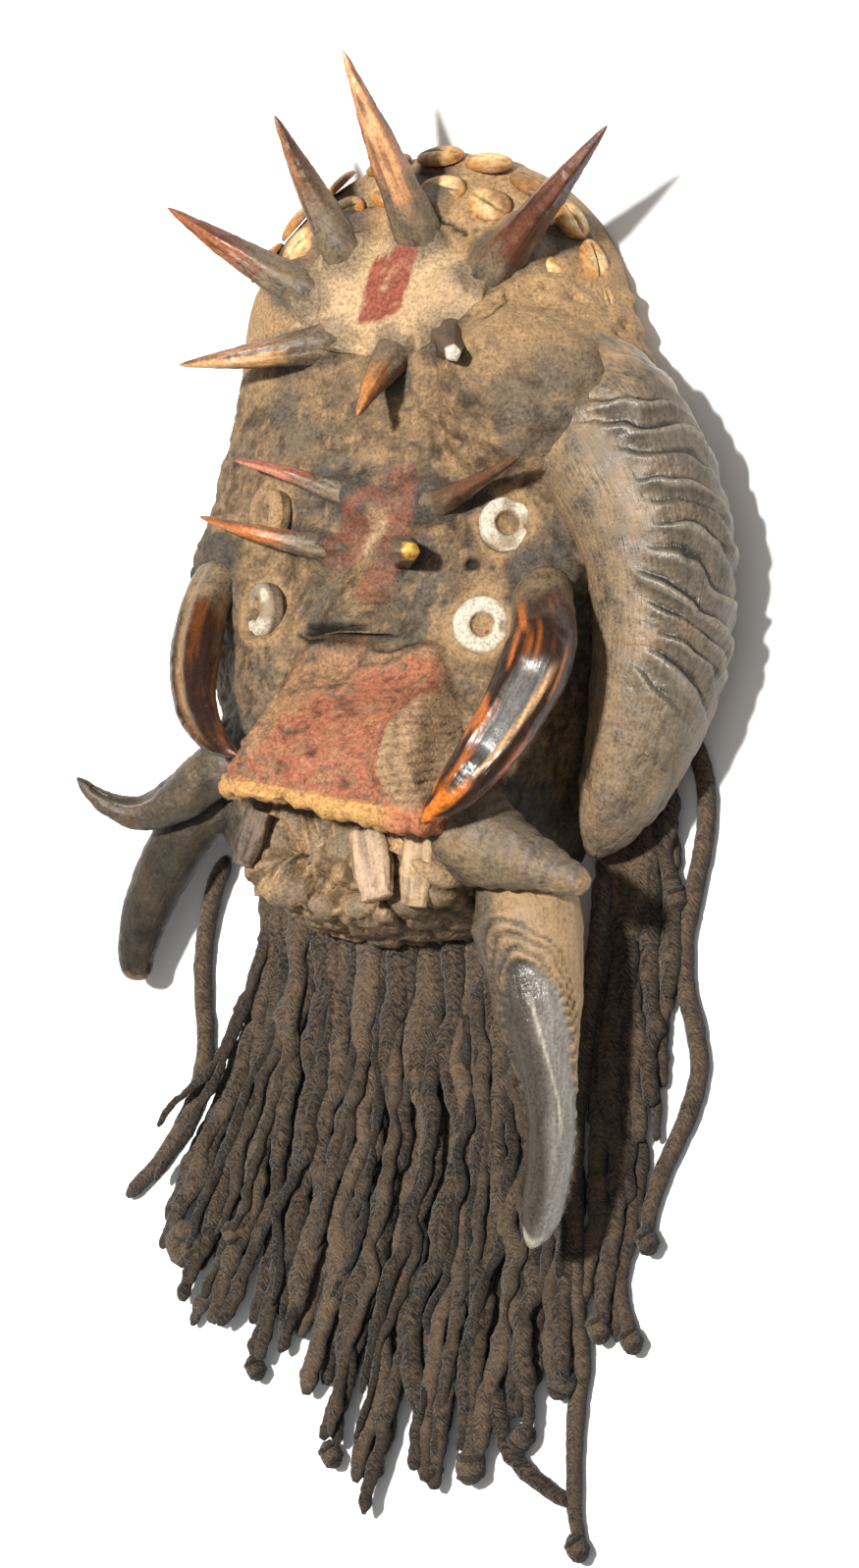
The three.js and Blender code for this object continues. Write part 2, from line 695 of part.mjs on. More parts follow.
// The beard: bundles of strands, joined where they are tied under the chin, in two layers
const BUNDLE = { halfWidth: 6, halfDepth: 4, rootHalfWidth: 13.6 };
const BUNDLE_TIP = { wide: 0.5, deep: 0.6 };
const BUNDLE_STEPS = 4;
const CHIN_TIE = { fromAngle: 200, toAngle: 338, offset: 2 };
const LAYERS = {
  beard_lower: { z: SURFACE_Z, rootZ: 9, firstLane: 0 },
  beard_upper: { z: 12.8, rootZ: 17.8, firstLane: 1 },
};
const LANES = 19;
const BEARD_TIPS = { leftX: -130, rightX: 60, leftY: -302, middleY: -416, fromLane: -0.2, toLane: 0.6 };
const TIP_UNEVENNESS = [{ length: 16, pace: 2.4 }, { length: 8, pace: 5.1 }];
const FANNING = 1.6;
const SWAY = { width: 2.2, pace: 38 };
const SETTLING_DROP = 62;
const HANGING_SHARES = [0.14, 0.36, 0.6, 0.82, 1];

function chinPoint(lane, z) {
  const angle = THREE.MathUtils.degToRad(mix(CHIN_TIE.fromAngle, CHIN_TIE.toAngle, lane));
  const x = midline(CHIN_CENTRE_Y) + Math.cos(angle) * (HALF_WIDTH.chin + CHIN_TIE.offset);
  return point(x, CHIN_CENTRE_Y + Math.sin(angle) * (CHIN_ROUND + CHIN_TIE.offset), z);
}

// Tips vary in length from lane to lane, short on the left and long from the middle on
function laneTip(index, z) {
  const lane = index / (LANES - 1);
  const uneven = TIP_UNEVENNESS.reduce((sum, { length, pace }) => sum + length * Math.sin(index * pace), 0);
  const longer = smoothStep(BEARD_TIPS.fromLane, BEARD_TIPS.toLane, lane);
  const y = mix(BEARD_TIPS.leftY, BEARD_TIPS.middleY, longer) + uneven;
  return point(mix(BEARD_TIPS.leftX, BEARD_TIPS.rightX, lane), y, z);
}

// From its root a bundle drops to its layer, spreads out and sways a little
function hangingPath(root, tip, layerZ) {
  const path = [root];
  for (const share of HANGING_SHARES) {
    const y = mix(root.y, tip.y, share);
    const settled = smoothStep(0, SETTLING_DROP, root.y - y);
    const sway = SWAY.width * Math.sin(y / SWAY.pace) * share;
    path.push(point(mix(root.x, tip.x, share ** FANNING) + sway, y, mix(root.z, layerZ, settled)));
  }
  return path.map(({ x, y, z }) => [x, y, z]);
}

function bundleBody(path) {
  const { halfWidth: wide, halfDepth: deep, rootHalfWidth: root } = BUNDLE;
  const stations = [
    [0, root, deep], [0.2, wide, deep], [0.88, wide, deep],
    [1, wide * BUNDLE_TIP.wide, deep * BUNDLE_TIP.deep],
  ];
  return taperedBody(path, stations, STRAND_SIDES, { steps: BUNDLE_STEPS, startTurn: -Math.PI / 2 });
}

function fused(geometries) {
  return geometries.map(toManifold).reduce((whole, solid) => whole.add(solid));
}

for (const [name, layer] of Object.entries(LAYERS)) {
  const bodies = [];
  for (let lane = layer.firstLane; lane < LANES; lane += 2) {
    const root = chinPoint(lane / (LANES - 1), layer.rootZ);
    bodies.push(bundleBody(hangingPath(root, laneTip(lane, layer.z), layer.z)));
  }
  addPiece(name, toGeometry(fused(bodies).subtract(headCutter)), COLOURS.fibre, 1);
}

// The strands beside the large horn come out from under it, tied to a short band
const sideBand = { route: [[118, -84], [106, -100], [94, -116]], radius: 3.6, steps: 2 };
const sideStrands = [
  [[115, -88], [124, -108], [121, -146], [114, -196], [109, -246]],
  [[105, -101], [114, -122], [113, -158], [108, -204], [106, -264]],
  [[95, -115], [94, -134], [89, -170], [84, -230], [80, -328]],
];
const SIDE_STRAND_STEPS = 6;
const SIDE_STRAND_TIP = 0.6;

function onSurface(route) {
  return route.map(([x, y]) => [x, y, SURFACE_Z]);
}

const sideStations = [[0, STRAND_RADIUS], [0.9, STRAND_RADIUS], [1, STRAND_RADIUS * SIDE_STRAND_TIP]];
const sideBodies = sideStrands.map((route) => {
  return taperedBody(onSurface(route), sideStations, STRAND_SIDES, { steps: SIDE_STRAND_STEPS });
});
const bandStations = [[0, sideBand.radius], [1, sideBand.radius]];
const bandOptions = { steps: sideBand.steps, bluntEnd: true };
sideBodies.push(taperedBody(onSurface(sideBand.route), bandStations, STRAND_SIDES, bandOptions));
addPiece("beard_side", toGeometry(fused(sideBodies).subtract(headCutter)), COLOURS.fibre, 1);

// The strands that lie free of the mass, from where each leaves the head to its own end
const freeStrands = {
  strand_right_loop: [
    [125, -79, 4.4], [132, -90, 4.4], [136, -104, 4.4], [136, -122, 4.4], [133, -140, 4.4],
    [129, -158, 4.4], [126, -176, 4.4], [127, -194, 4.4], [131, -212, 4.4], [133, -229, 4.4],
    [129, -246, 4.4], [122, -262, 4.4], [115, -278, 4.4], [110, -294, 4.4], [108, -312, 4.4],
  ],
  strand_right_knot: [
    [104, -120, 4.4], [104, -132, 4.4], [103, -147, 4.4], [101, -165, 4.4], [98, -184, 4.4],
    [97, -204, 4.4], [96, -224, 4.4], [95, -244, 4.4], [94, -264, 4.4], [94, -284, 4.4],
    [94, -304, 4.4], [95, -322, 4.4], [97, -336, 4.4], [100, -346, 4.4], [104, -354, 4.4],
  ],
  strand_long: [
    [93, -143, 19], [92, -159, 18.5], [88, -184, 15], [84, -208, 13.2], [81, -232, 12.9], [78, -256, 12.8],
    [77, -280, 12.8], [77, -304, 12.4], [77, -326, 10.5], [77, -346, 7.5], [78, -364, 5.2], [75, -384, 4.4],
    [74, -406, 4.4], [74, -428, 4.4], [77, -449, 4.4],
  ],
  strand_left: [
    [-98, -138, 9], [-105, -152, 8], [-110, -168, 6], [-113, -186, 4.8], [-113, -204, 4.4],
    [-112, -220, 4.4], [-113, -236, 4.4], [-117, -250, 4.4], [-123, -263, 4.4], [-131, -275, 4.4],
    [-139, -285, 4.4], [-146, -292, 4.4], [-154, -300, 4.4],
  ],
};

function roundSection(radius, sides) {
  const corners = [];
  for (let corner = 0; corner < sides; corner += 1) {
    const angle = corner / sides * 2 * Math.PI;
    corners.push(new THREE.Vector2(Math.cos(angle) * radius, Math.sin(angle) * radius));
  }
  return new THREE.Shape(corners);
}

for (const [name, route] of Object.entries(freeStrands)) {
  const extrudePath = new THREE.CatmullRomCurve3(route.map((corner) => point(...corner)));
  const tube = new THREE.ExtrudeGeometry(roundSection(STRAND_RADIUS, FREE_STRAND_SIDES), {
    steps: Math.round(extrudePath.getLength() / FREE_STRAND_STEP),
    bevelEnabled: false,
    extrudePath,
  });
  addPiece(name, cleaned(tube), COLOURS.fibre, 1);
}

// The origin is under the middle of everything but the free strands, on the surface that the mask lies on
const body = new THREE.Box3();
for (const piece of mask.children) {
  if (!(piece.name in freeStrands)) {
    body.expandByObject(piece);
  }
}
const middle = body.getCenter(point(0, 0, 0));
mask.position.set(-middle.x, -middle.y, -body.min.z);

export default mask;
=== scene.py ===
"""A carved wooden mask with horns, spikes, cowries and a beard of matted fibre, lying on a pale floor.

Lengths are millimetres in the mask's own drawing: x to the viewer's right, y to the crown, z out of the face,
with z = 0 on the floor. `placed` turns them into metres in the part's frame.
"""
import itertools
import math
from types import SimpleNamespace

import bmesh
import bpy
import numpy as np
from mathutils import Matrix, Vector


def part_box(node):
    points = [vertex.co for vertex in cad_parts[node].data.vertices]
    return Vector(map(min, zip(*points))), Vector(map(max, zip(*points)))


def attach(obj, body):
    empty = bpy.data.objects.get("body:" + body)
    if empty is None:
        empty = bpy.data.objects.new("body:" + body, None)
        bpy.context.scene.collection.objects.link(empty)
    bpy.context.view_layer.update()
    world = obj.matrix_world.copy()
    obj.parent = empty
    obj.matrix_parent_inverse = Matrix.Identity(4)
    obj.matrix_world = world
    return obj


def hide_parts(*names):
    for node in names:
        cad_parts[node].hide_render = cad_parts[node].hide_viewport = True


bl_info = {
    "name": "Horned mask",
    "version": (1, 0, 0),
    "blender": (4, 5, 0),
    "location": "View3D > Sidebar > Mask",
    "description": "Builds a horned and bearded mask piece by piece",
    "category": "Add Mesh",
}

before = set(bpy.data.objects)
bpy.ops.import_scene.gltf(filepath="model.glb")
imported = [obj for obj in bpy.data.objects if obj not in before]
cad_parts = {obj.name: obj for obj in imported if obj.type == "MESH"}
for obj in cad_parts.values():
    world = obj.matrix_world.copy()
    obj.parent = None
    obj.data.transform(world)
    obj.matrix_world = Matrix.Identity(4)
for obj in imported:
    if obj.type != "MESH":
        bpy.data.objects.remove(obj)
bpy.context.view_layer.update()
MM = 0.001

# The plain form of the head
CROWN_Y = 182
CHIN_Y = -178
CROWN_ROUND = 85
CHIN_ROUND = 58
CROWN_CENTRE_Y = CROWN_Y - CROWN_ROUND
CHIN_CENTRE_Y = CHIN_Y + CHIN_ROUND
HALF_WIDTH = {"chin": 82, "cheek": 108, "crown": 93}
CHEEK_Y = -10
MIDLINE_X = 4
MIDLINE_LEAN = 0.04
FACE_HEIGHT = 60
FACE_SLOPE = 0.12
WALL = 14
SIDE_SQUARENESS = 3
SHELL_MIDDLE_X = 3.6

# The carving
BOSS = {"x": 6, "y": 112, "radius_x": 46, "radius_y": 27, "height": 9}
BROW = {"y": 20, "radius_x": 44, "radius_y": 18, "height": 6}
EYE_SOCKET = {"x": 52, "y": -12, "radius_x": 30, "radius_y": 34, "depth": 7}
NOSE = {"top_y": 6, "tip_y": -38, "top_half": 8, "wing_half": 32, "height": 17, "lean": -6, "edge": 7}
MUZZLE = {
    "root_y": -44, "lip_y": -115, "root_half": 33, "lip_half": 54,
    "root_height": 6, "lip_height": 36, "lean": -2, "slant": 0.16,
}
MOUTH = {"y": -137, "radius_x": 50, "radius_y": 22, "depth": 15}
JAW_ROLL = {"y": -126, "radius_x": 58, "radius_y": 42, "thickness": 13, "height": 13}
CHEEKS = {
    "right": {"x": 36, "y": -88, "radius_x": 18, "radius_y": 34, "height": 8},
    "left": {"x": -58, "y": -62, "radius_x": 16, "radius_y": 34, "height": 6},
}
LIP_EDGE = 1
LIP_DROP = 5
LIP_SHEAR_REACH = 45
HORN_SEAT = {"x": 74, "y": 66, "radius_x": 46, "radius_y": 52, "height": 12}

# Horns and tusks: a centre line from root to tip, and stations of share, half width and half depth
HORNS = {
    "ram_horn": {
        "path": [(62, 78, 44), (92, 60, 42), (112, 33, 40), (125, 0, 38), (127, -38, 37), (120, -76, 36),
                 (107, -108, 33), (92, -136, 29)],
        "stations": [(0, 16, 8), (0.1, 32, 20), (0.2, 37, 27), (0.4, 34, 27), (0.7, 28, 24), (0.88, 19, 18),
                     (1, 7, 7)],
    },
    "cone_horn_right": {
        "path": [(42, -114, 76), (62, -128, 82), (88, -137, 86), (114, -147, 90)],
        "stations": [(0, 12, 10), (0.15, 21, 17), (0.3, 21, 17), (0.65, 12, 11), (1, 5, 5)],
    },
    "long_horn_right": {
        "path": [(62, -136, 62), (74, -162, 62), (83, -208, 66), (87, -251, 64), (79, -290, 56),
                 (72, -306, 51)],
        "stations": [(0, 10, 8), (0.15, 24, 19), (0.38, 18, 15), (0.55, 11.5, 11), (0.72, 10.5, 10),
                     (0.9, 9.5, 9), (1, 4, 4)],
    },
    "hook_horn_left": {
        "path": [(-56, -92, 58), (-80, -99, 59), (-94, -108, 58), (-108, -115, 57), (-120, -117, 58),
                 (-132, -113, 61), (-140, -107, 64), (-146, -101, 66)],
        "stations": [(0, 10, 8), (0.15, 13.5, 12), (0.3, 12, 11), (0.5, 10.5, 10), (0.68, 7.5, 7),
                     (0.85, 5, 5), (1, 1.5, 1.5)],
    },
    "blade_horn_left": {
        "path": [(-72, -110, 38), (-95, -117, 37), (-117, -141, 33), (-131, -164, 28), (-138, -183, 24),
                 (-139, -196, 22)],
        "stations": [(0, 9, 6), (0.15, 14, 11), (0.3, 14, 12), (0.47, 13.5, 11), (0.71, 12, 9),
                     (0.88, 9.5, 7.5), (1, 7, 5)],
    },
    "tusk_right": {
        "path": [(76, -14, 46), (84, -26, 68), (92, -46, 88), (84, -76, 104), (68, -102, 114),
                 (49, -120, 116)],
        "stations": [(0, 6, 5), (0.12, 14, 11), (0.45, 16, 12), (0.7, 13, 9), (0.88, 9, 6), (1, 2, 2)],
    },
    "tusk_left": {
        "path": [(-82, -2, 34), (-84, -14, 50), (-82, -42, 70), (-74, -68, 86), (-60, -84, 96),
                 (-44, -92, 102)],
        "stations": [(0, 5, 4), (0.12, 11, 9), (0.45, 12, 10), (0.7, 10, 7), (0.88, 6, 5), (1, 1.5, 1.5)],
    },
}

# Spikes: root, bend and tip, half width near the root and at the tip, and how far the clay climbs
SPIKES = {
    "crown_spike_1": {"path": [(-34, 114, 44), (-70, 137, 62), (-98, 156, 68)], "half": 10.5, "tip": 1},
    "crown_spike_2": {"path": [(-20, 132, 42), (-31, 164, 62), (-39, 191, 78)], "half": 10.5, "tip": 1},
    "crown_spike_3": {"path": [(17, 136, 42), (9, 176, 70), (0, 214, 90)], "half": 11, "tip": 1},
    "crown_spike_4": {"path": [(48, 120, 42), (86, 147, 66), (118, 174, 78)], "half": 11, "tip": 1},
    "crown_spike_5": {"path": [(-22, 94, 48), (-58, 87, 66), (-90, 84, 72)], "half": 9, "tip": 1},
    "crown_spike_6": {"path": [(8, 88, 50), (8, 70, 76), (7, 55, 90)], "half": 9, "tip": 1},
    "crown_spike_7": {
        "path": [(34, 92, 46), (44, 86, 74), (54, 79, 94)], "half": 11, "tip": 3.5, "clay": 0.15,
    },
    "brow_spike_upper_left": {"path": [(-2, 20, 58), (-35, 33, 70), (-63, 41, 72)], "half": 6, "tip": 1},
    "brow_spike_lower_left": {"path": [(-18, 0, 60), (-50, 7, 70), (-81, 16, 69)], "half": 6, "tip": 1},
    "brow_spike_right": {"path": [(24, 16, 58), (54, 25, 74), (81, 35, 86)], "half": 6.5, "tip": 1},
    "bridge_peg": {"path": [(14, -2, 56), (22, -3, 74), (31, -4, 86)], "half": 8.5, "tip": 4},
}

# Chalk rings that stand for eyes: place on the head, the way each one faces, and how worn it is
EYE_RINGS = {
    "eye_ring_upper_right": {"place": (62, 9), "facing": (0.42, 0.1, 0.9), "worn": 0.25},
    "eye_ring_lower_right": {"place": (53, -35), "facing": (0.38, 0.05, 0.92), "worn": 0.1},
    "eye_ring_upper_left": {"place": (-52, 16), "facing": (-0.72, 0.1, 0.68), "worn": 0.9},
    "eye_ring_lower_left": {"place": (-56, -26), "facing": (-0.66, 0.02, 0.75), "worn": 0.3},
}

TEETH = {
    "tooth_left": {"top": (-43, -116, 84), "bottom": (-50, -140, 88), "half": (7.5, 4.5)},
    "tooth_middle": {"top": (9, -124, 84), "bottom": (18, -154, 92), "half": (10, 5)},
    "tooth_right": {"top": (37, -125, 88), "bottom": (34, -157, 90), "half": (8.5, 5)},
}

# Cowries in two arcs round the crown
COWRIE_ROWS = [
    {"count": 10, "reach": 0.95, "start": 4, "end": 152},
    {"count": 8, "reach": 0.76, "start": -2, "end": 140},
]

# The four strands that lie free of the beard: route, length and the end that each has
FREE_STRANDS = {
    "strand_right_loop": {
        "route": [(125, -79, 4.4), (132, -90, 4.4), (136, -104, 4.4), (136, -122, 4.4), (133, -140, 4.4),
                  (129, -158, 4.4), (126, -176, 4.4), (127, -194, 4.4), (131, -212, 4.4), (133, -229, 4.4),
                  (129, -246, 4.4), (122, -262, 4.4), (115, -278, 4.4), (110, -294, 4.4), (108, -312, 4.4)],
        "length": 0.242, "end": "bare",
    },
    "strand_right_knot": {
        "route": [(104, -120, 4.4), (104, -132, 4.4), (103, -147, 4.4), (101, -165, 4.4), (98, -184, 4.4),
                  (97, -204, 4.4), (96, -224, 4.4), (95, -244, 4.4), (94, -264, 4.4), (94, -284, 4.4),
                  (94, -304, 4.4), (95, -322, 4.4), (97, -336, 4.4), (100, -346, 4.4), (104, -354, 4.4)],
        "length": 0.236, "end": "knot",
    },
    "strand_long": {
        "route": [(93, -143, 19), (92, -159, 18.5), (88, -184, 15), (84, -208, 13.2), (81, -232, 12.9),
                  (78, -256, 12.8), (77, -280, 12.8), (77, -304, 12.4), (77, -326, 10.5), (77, -346, 7.5),
                  (78, -364, 5.2), (75, -384, 4.4), (74, -406, 4.4), (74, -428, 4.4), (77, -449, 4.4)],
        "length": 0.308, "end": "knot",
    },
    "strand_left": {
        "route": [(-98, -138, 9), (-105, -152, 8), (-110, -168, 6), (-113, -186, 4.8), (-113, -204, 4.4),
                  (-112, -220, 4.4), (-113, -236, 4.4), (-117, -250, 4.4), (-123, -263, 4.4),
                  (-131, -275, 4.4), (-139, -285, 4.4), (-146, -292, 4.4), (-154, -300, 4.4)],
        "length": 0.178, "end": "bare",
    },
}


# Plain sums on arrays
def mix(a, b, share):
    return a + (b - a) * share


def smooth_step(low, high, value):
    share = np.clip((value - low) / (high - low), 0, 1)
    return share * share * (3 - 2 * share)


def mound(x, y, centre_x, centre_y, radius_x, radius_y, flat=0.0):
    distance = np.hypot((x - centre_x) / radius_x, (y - centre_y) / radius_y)
    return 1 - smooth_step(flat, 1, distance)


def unit(vectors):
    length = np.linalg.norm(vectors, axis=-1, keepdims=True)
    return vectors / np.maximum(length, 1e-9)


def lattice(cells, seed):
    """A fixed number between 0 and 1 for every whole cell."""
    whole = cells.astype(np.int64)
    mixed = whole[..., 0] * 73856093 ^ whole[..., 1] * 19349663 ^ whole[..., 2] * 83492791 ^ seed * 2654435
    mixed = (mixed ^ (mixed >> 15)) * 668265263 & 0x7FFFFFFF
    mixed = (mixed ^ (mixed >> 13)) * 374761393 & 0x7FFFFFFF
    return ((mixed ^ (mixed >> 16)) & 0xFFFF) / 0xFFFF


def soft_noise(points, size, seed=0):
    """Smooth noise between -1 and 1 with lumps of the given size."""
    scaled = points / size
    base = np.floor(scaled)
    part = scaled - base
    part = part * part * (3 - 2 * part)
    total = np.zeros(points.shape[:-1])
    for corner in itertools.product((0, 1), repeat=3):
        weight = np.prod(np.where(np.array(corner) == 1, part, 1 - part), axis=-1)
        total += weight * lattice(base + np.array(corner), seed)
    return total * 2 - 1


def rough_noise(points, size, seed=0, octaves=3):
    total = np.zeros(points.shape[:-1])
    for octave in range(octaves):
        total += soft_noise(points, size / 2 ** octave, seed + octave) / 2 ** octave
    return total / 1.5


def crumb_noise(points, size, seed=0, edges=False):
    """Distance to the nearest of scattered points; or, for edges, how much farther the next one is."""
    scaled = points / size
    base = np.floor(scaled)
    nearest = np.full(points.shape[:-1], 9.0)
    second = nearest
    for corner in itertools.product((-1, 0, 1), repeat=3):
        cell = base + np.array(corner)
        grain = np.stack([lattice(cell, seed + axis) for axis in range(3)], axis=-1)
        distance = np.linalg.norm(cell + grain - scaled, axis=-1)
        second = np.minimum(second, np.maximum(nearest, distance))
        nearest = np.minimum(nearest, distance)
    return second - nearest if edges else np.minimum(nearest, 1)


def line_distance(x, y, corners):
    """How far each place is from a drawn line, and the share of the line at its nearest point."""
    nearest = np.full(np.shape(x), 1e9)
    share = np.zeros(np.shape(x))
    last = len(corners) - 1
    for index in range(last):
        (ax, ay), (bx, by) = corners[index], corners[index + 1]
        length = (bx - ax) ** 2 + (by - ay) ** 2
        part = np.clip(((x - ax) * (bx - ax) + (y - ay) * (by - ay)) / length, 0, 1)
        distance = np.hypot(x - ax - part * (bx - ax), y - ay - part * (by - ay))
        share = np.where(distance < nearest, (index + part) / last, share)
        nearest = np.minimum(nearest, distance)
    return nearest, share


def crease(x, y, corners, width):
    """1 on a drawn line, thinning out to its ends and to nothing at the given width."""
    distance, share = line_distance(x, y, corners)
    taper = np.clip(4 * share * (1 - share), 0, 1) ** 0.5
    return (1 - smooth_step(0, width, distance)) * taper


def smooth_line(corners, step):
    """Points of a centripetal Catmull-Rom line, evenly spaced about a step apart."""
    corners = np.array(corners, dtype=float)
    ends = [2 * corners[0] - corners[1], 2 * corners[-1] - corners[-2]]
    padded = np.vstack([ends[0], corners, ends[1]])
    dense = []
    for index in range(len(corners) - 1):
        a, b, c, d = padded[index:index + 4]
        gaps = [max(np.linalg.norm(q - p), 1e-4) ** 0.5 for p, q in ((a, b), (b, c), (c, d))]
        first = ((b - a) / gaps[0] - (c - a) / (gaps[0] + gaps[1]) + (c - b) / gaps[1]) * gaps[1]
        second = ((c - b) / gaps[1] - (d - b) / (gaps[1] + gaps[2]) + (d - c) / gaps[2]) * gaps[1]
        t = np.linspace(0, 1, 60)[:, None]
        dense.append(b + first * t + (3 * (c - b) - 2 * first - second) * t ** 2
                     + (2 * (b - c) + first + second) * t ** 3)
    dense = np.vstack(dense)
    lengths = np.concatenate([[0], np.cumsum(np.linalg.norm(np.diff(dense, axis=0), axis=1))])
    count = max(2, round(lengths[-1] / step) + 1)
    places = np.linspace(0, lengths[-1], count)
    return np.stack([np.interp(places, lengths, dense[:, axis]) for axis in range(3)], axis=1)


# The head as a height over the floor
def midline(y):
    return MIDLINE_X + MIDLINE_LEAN * y


def end_rounding(y):
    past = np.maximum((y - CROWN_CENTRE_Y) / CROWN_ROUND, (CHIN_CENTRE_Y - y) / CHIN_ROUND)
    return np.sqrt(1 - np.clip(past, 0, 1) ** 2)


def half_width(y):
    middle = mix(HALF_WIDTH["cheek"], HALF_WIDTH["crown"], smooth_step(CHEEK_Y, CROWN_CENTRE_Y, y))
    return mix(middle, HALF_WIDTH["chin"], 1 - smooth_step(CHIN_CENTRE_Y, CHEEK_Y, y)) * end_rounding(y)


def base_height(y):
    return (FACE_HEIGHT - FACE_SLOPE * y) * end_rounding(y) ** 0.8


def lip_line(x):
    return MUZZLE["lip_y"] - MUZZLE["slant"] * x


def nose_height(x, y):
    down = np.clip((NOSE["top_y"] - y) / (NOSE["top_y"] - NOSE["tip_y"]), 0, 1)
    half = mix(NOSE["top_half"], NOSE["wing_half"], down)
    ridge = 1 - smooth_step(0, 1, np.abs(x - NOSE["lean"] * down) / half)
    under = smooth_step(NOSE["tip_y"] - NOSE["edge"], NOSE["tip_y"], y)
    return NOSE["height"] * smooth_step(0, 1, down) * ridge * under


def muzzle_height(x, y):
    lip_y = lip_line(x)
    down = np.clip((MUZZLE["root_y"] - y) / (MUZZLE["root_y"] - lip_y), 0, 1)
    half = mix(MUZZLE["root_half"], MUZZLE["lip_half"], down)
    side = 1 - smooth_step(-5, 5, np.abs(x - MUZZLE["lean"] * down) - half)
    rise = mix(MUZZLE["root_height"], MUZZLE["lip_height"], smooth_step(0.05, 0.75, down))
    front = smooth_step(-LIP_DROP, LIP_EDGE, y - lip_y)
    root = 1 - smooth_step(MUZZLE["root_y"] - 2, MUZZLE["root_y"] + 4, y)
    return rise * side * front * root


def jaw_height(x, y):
    distance = np.hypot(x / JAW_ROLL["radius_x"], (y - JAW_ROLL["y"]) / JAW_ROLL["radius_y"])
    offset = (distance - 0.86) * JAW_ROLL["radius_y"]
    below = 1 - smooth_step(JAW_ROLL["y"] - 12, JAW_ROLL["y"] + 8, y)
    return JAW_ROLL["height"] * (1 - smooth_step(0, JAW_ROLL["thickness"], np.abs(offset))) * below


def mound_of(form, x, y, flat=0.0):
    return mound(x, y, form.get("x", 0), form["y"], form["radius_x"], form["radius_y"], flat)


def carving(world_x, y):
    x = world_x - midline(y)
    in_mouth = 1 - smooth_step(-6, 0, y - lip_line(x))
    height = BOSS["height"] * mound_of(BOSS, world_x, y, 0.55)
    height = height + BROW["height"] * mound_of(BROW, x, y)
    height -= EYE_SOCKET["depth"] * mound_of(EYE_SOCKET, np.abs(x), y)
    for cheek in CHEEKS.values():
        height += cheek["height"] * mound_of(cheek, world_x, y, 0.3)
    height += HORN_SEAT["height"] * mound_of(HORN_SEAT, world_x, y)
    height -= MOUTH["depth"] * mound_of(MOUTH, x, y, 0.5) * in_mouth
    return height + nose_height(x, y) + muzzle_height(x, y) + jaw_height(x, y)


def carving_share(upwards, y):
    return smooth_step(0, 0.5, upwards) * smooth_step(0, 0.4, end_rounding(y))


def head_height(x, y):
    share = np.clip(np.abs(x - midline(y)) / np.maximum(1, half_width(y)), 0, 1)
    upwards = (1 - share ** SIDE_SQUARENESS) ** (1 / SIDE_SQUARENESS)
    return base_height(y) * upwards + carving(x, y) * carving_share(upwards, y)


def head_normal(x, y, reach=8):
    slope_x = (head_height(x + reach, y) - head_height(x - reach, y)) / (2 * reach)
    slope_y = (head_height(x, y + reach) - head_height(x, y - reach)) / (2 * reach)
    return unit(np.stack([-slope_x, -slope_y, np.ones_like(slope_x)], axis=-1))


# The part's frame
def drawing_origin():
    """Where the drawing's zero lies in the part's frame, in metres."""
    low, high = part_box("mask_shell")
    return np.array([(low[0] + high[0]) / 2 - SHELL_MIDDLE_X * MM, high[1] - CROWN_Y * MM, 0])


ORIGIN = drawing_origin()


def placed(points):
    return np.asarray(points, dtype=float) * MM + ORIGIN


def colour(red, green, blue):
    """A colour given as 0 to 255 in sRGB, as linear numbers."""
    share = np.array([red, green, blue]) / 255
    return np.where(share <= 0.04045, share / 12.92, ((share + 0.055) / 1.055) ** 2.4)


# Node trees
class Nodes:
    """Adds nodes to a tree; a value that is a socket is linked, and any other is set."""

    def __init__(self, tree):
        self.tree = tree

    def add(self, kind, inputs=None, output=0, **settings):
        node = self.tree.nodes.new(kind)
        for name, value in settings.items():
            setattr(node, name, value)
        for key, value in (inputs or {}).items():
            socket = node.inputs[key]
            if isinstance(value, bpy.types.NodeSocket):
                self.tree.links.new(value, socket)
            else:
                socket.default_value = value
        return node.outputs[output]

    def math(self, operation, *values, clamp=False):
        return self.add("ShaderNodeMath", dict(enumerate(values)), operation=operation, use_clamp=clamp)

    def noise(self, place, scale, detail, **more):
        return self.add("ShaderNodeTexNoise", {"Vector": place, "Scale": scale, "Detail": detail, **more})

    def scaled(self, vector, factor):
        return self.add("ShaderNodeVectorMath", {0: vector, "Scale": factor}, operation="SCALE")

    def stretched(self, vector, factors):
        return self.add("ShaderNodeVectorMath", {0: vector, 1: factors}, operation="MULTIPLY")

    def kept(self, name, kind="FLOAT"):
        """A value that the geometry keeps under a name."""
        return self.add("GeometryNodeInputNamedAttribute", {"Name": name}, data_type=kind)

    def keep(self, geometry, name, value, kind="FLOAT"):
        given = {"Geometry": geometry, "Name": name, "Value": value}
        return self.add("GeometryNodeStoreNamedAttribute", given, data_type=kind, domain="POINT")

    def blend(self, share, low, high):
        """Two colours mixed by a share."""
        values = {}
        for key, value in ((0, share), (6, low), (7, high)):
            values[key] = value if isinstance(value, bpy.types.NodeSocket) or key == 0 else (*value, 1)
        return self.add("ShaderNodeMix", values, output=2, data_type="RGBA")

    def span(self, value, low, high, start=0.0, end=1.0):
        return self.add("ShaderNodeMapRange", {0: value, 1: low, 2: high, 3: start, 4: end})


def open_group(name, inputs, outputs, kind="ShaderNodeTree"):
    """A node group with named sockets; returns its tree, nodes helper, input sockets and output node."""
    tree = bpy.data.node_groups.new(name, kind)
    for label, socket_type, value in inputs:
        socket = tree.interface.new_socket(label, in_out="INPUT", socket_type=socket_type)
        if value is not None:
            socket.default_value = value
    for label, socket_type in outputs:
        tree.interface.new_socket(label, in_out="OUTPUT", socket_type=socket_type)
    given = tree.nodes.new("NodeGroupInput").outputs
    result = tree.nodes.new("NodeGroupOutput")
    return tree, Nodes(tree), given, result


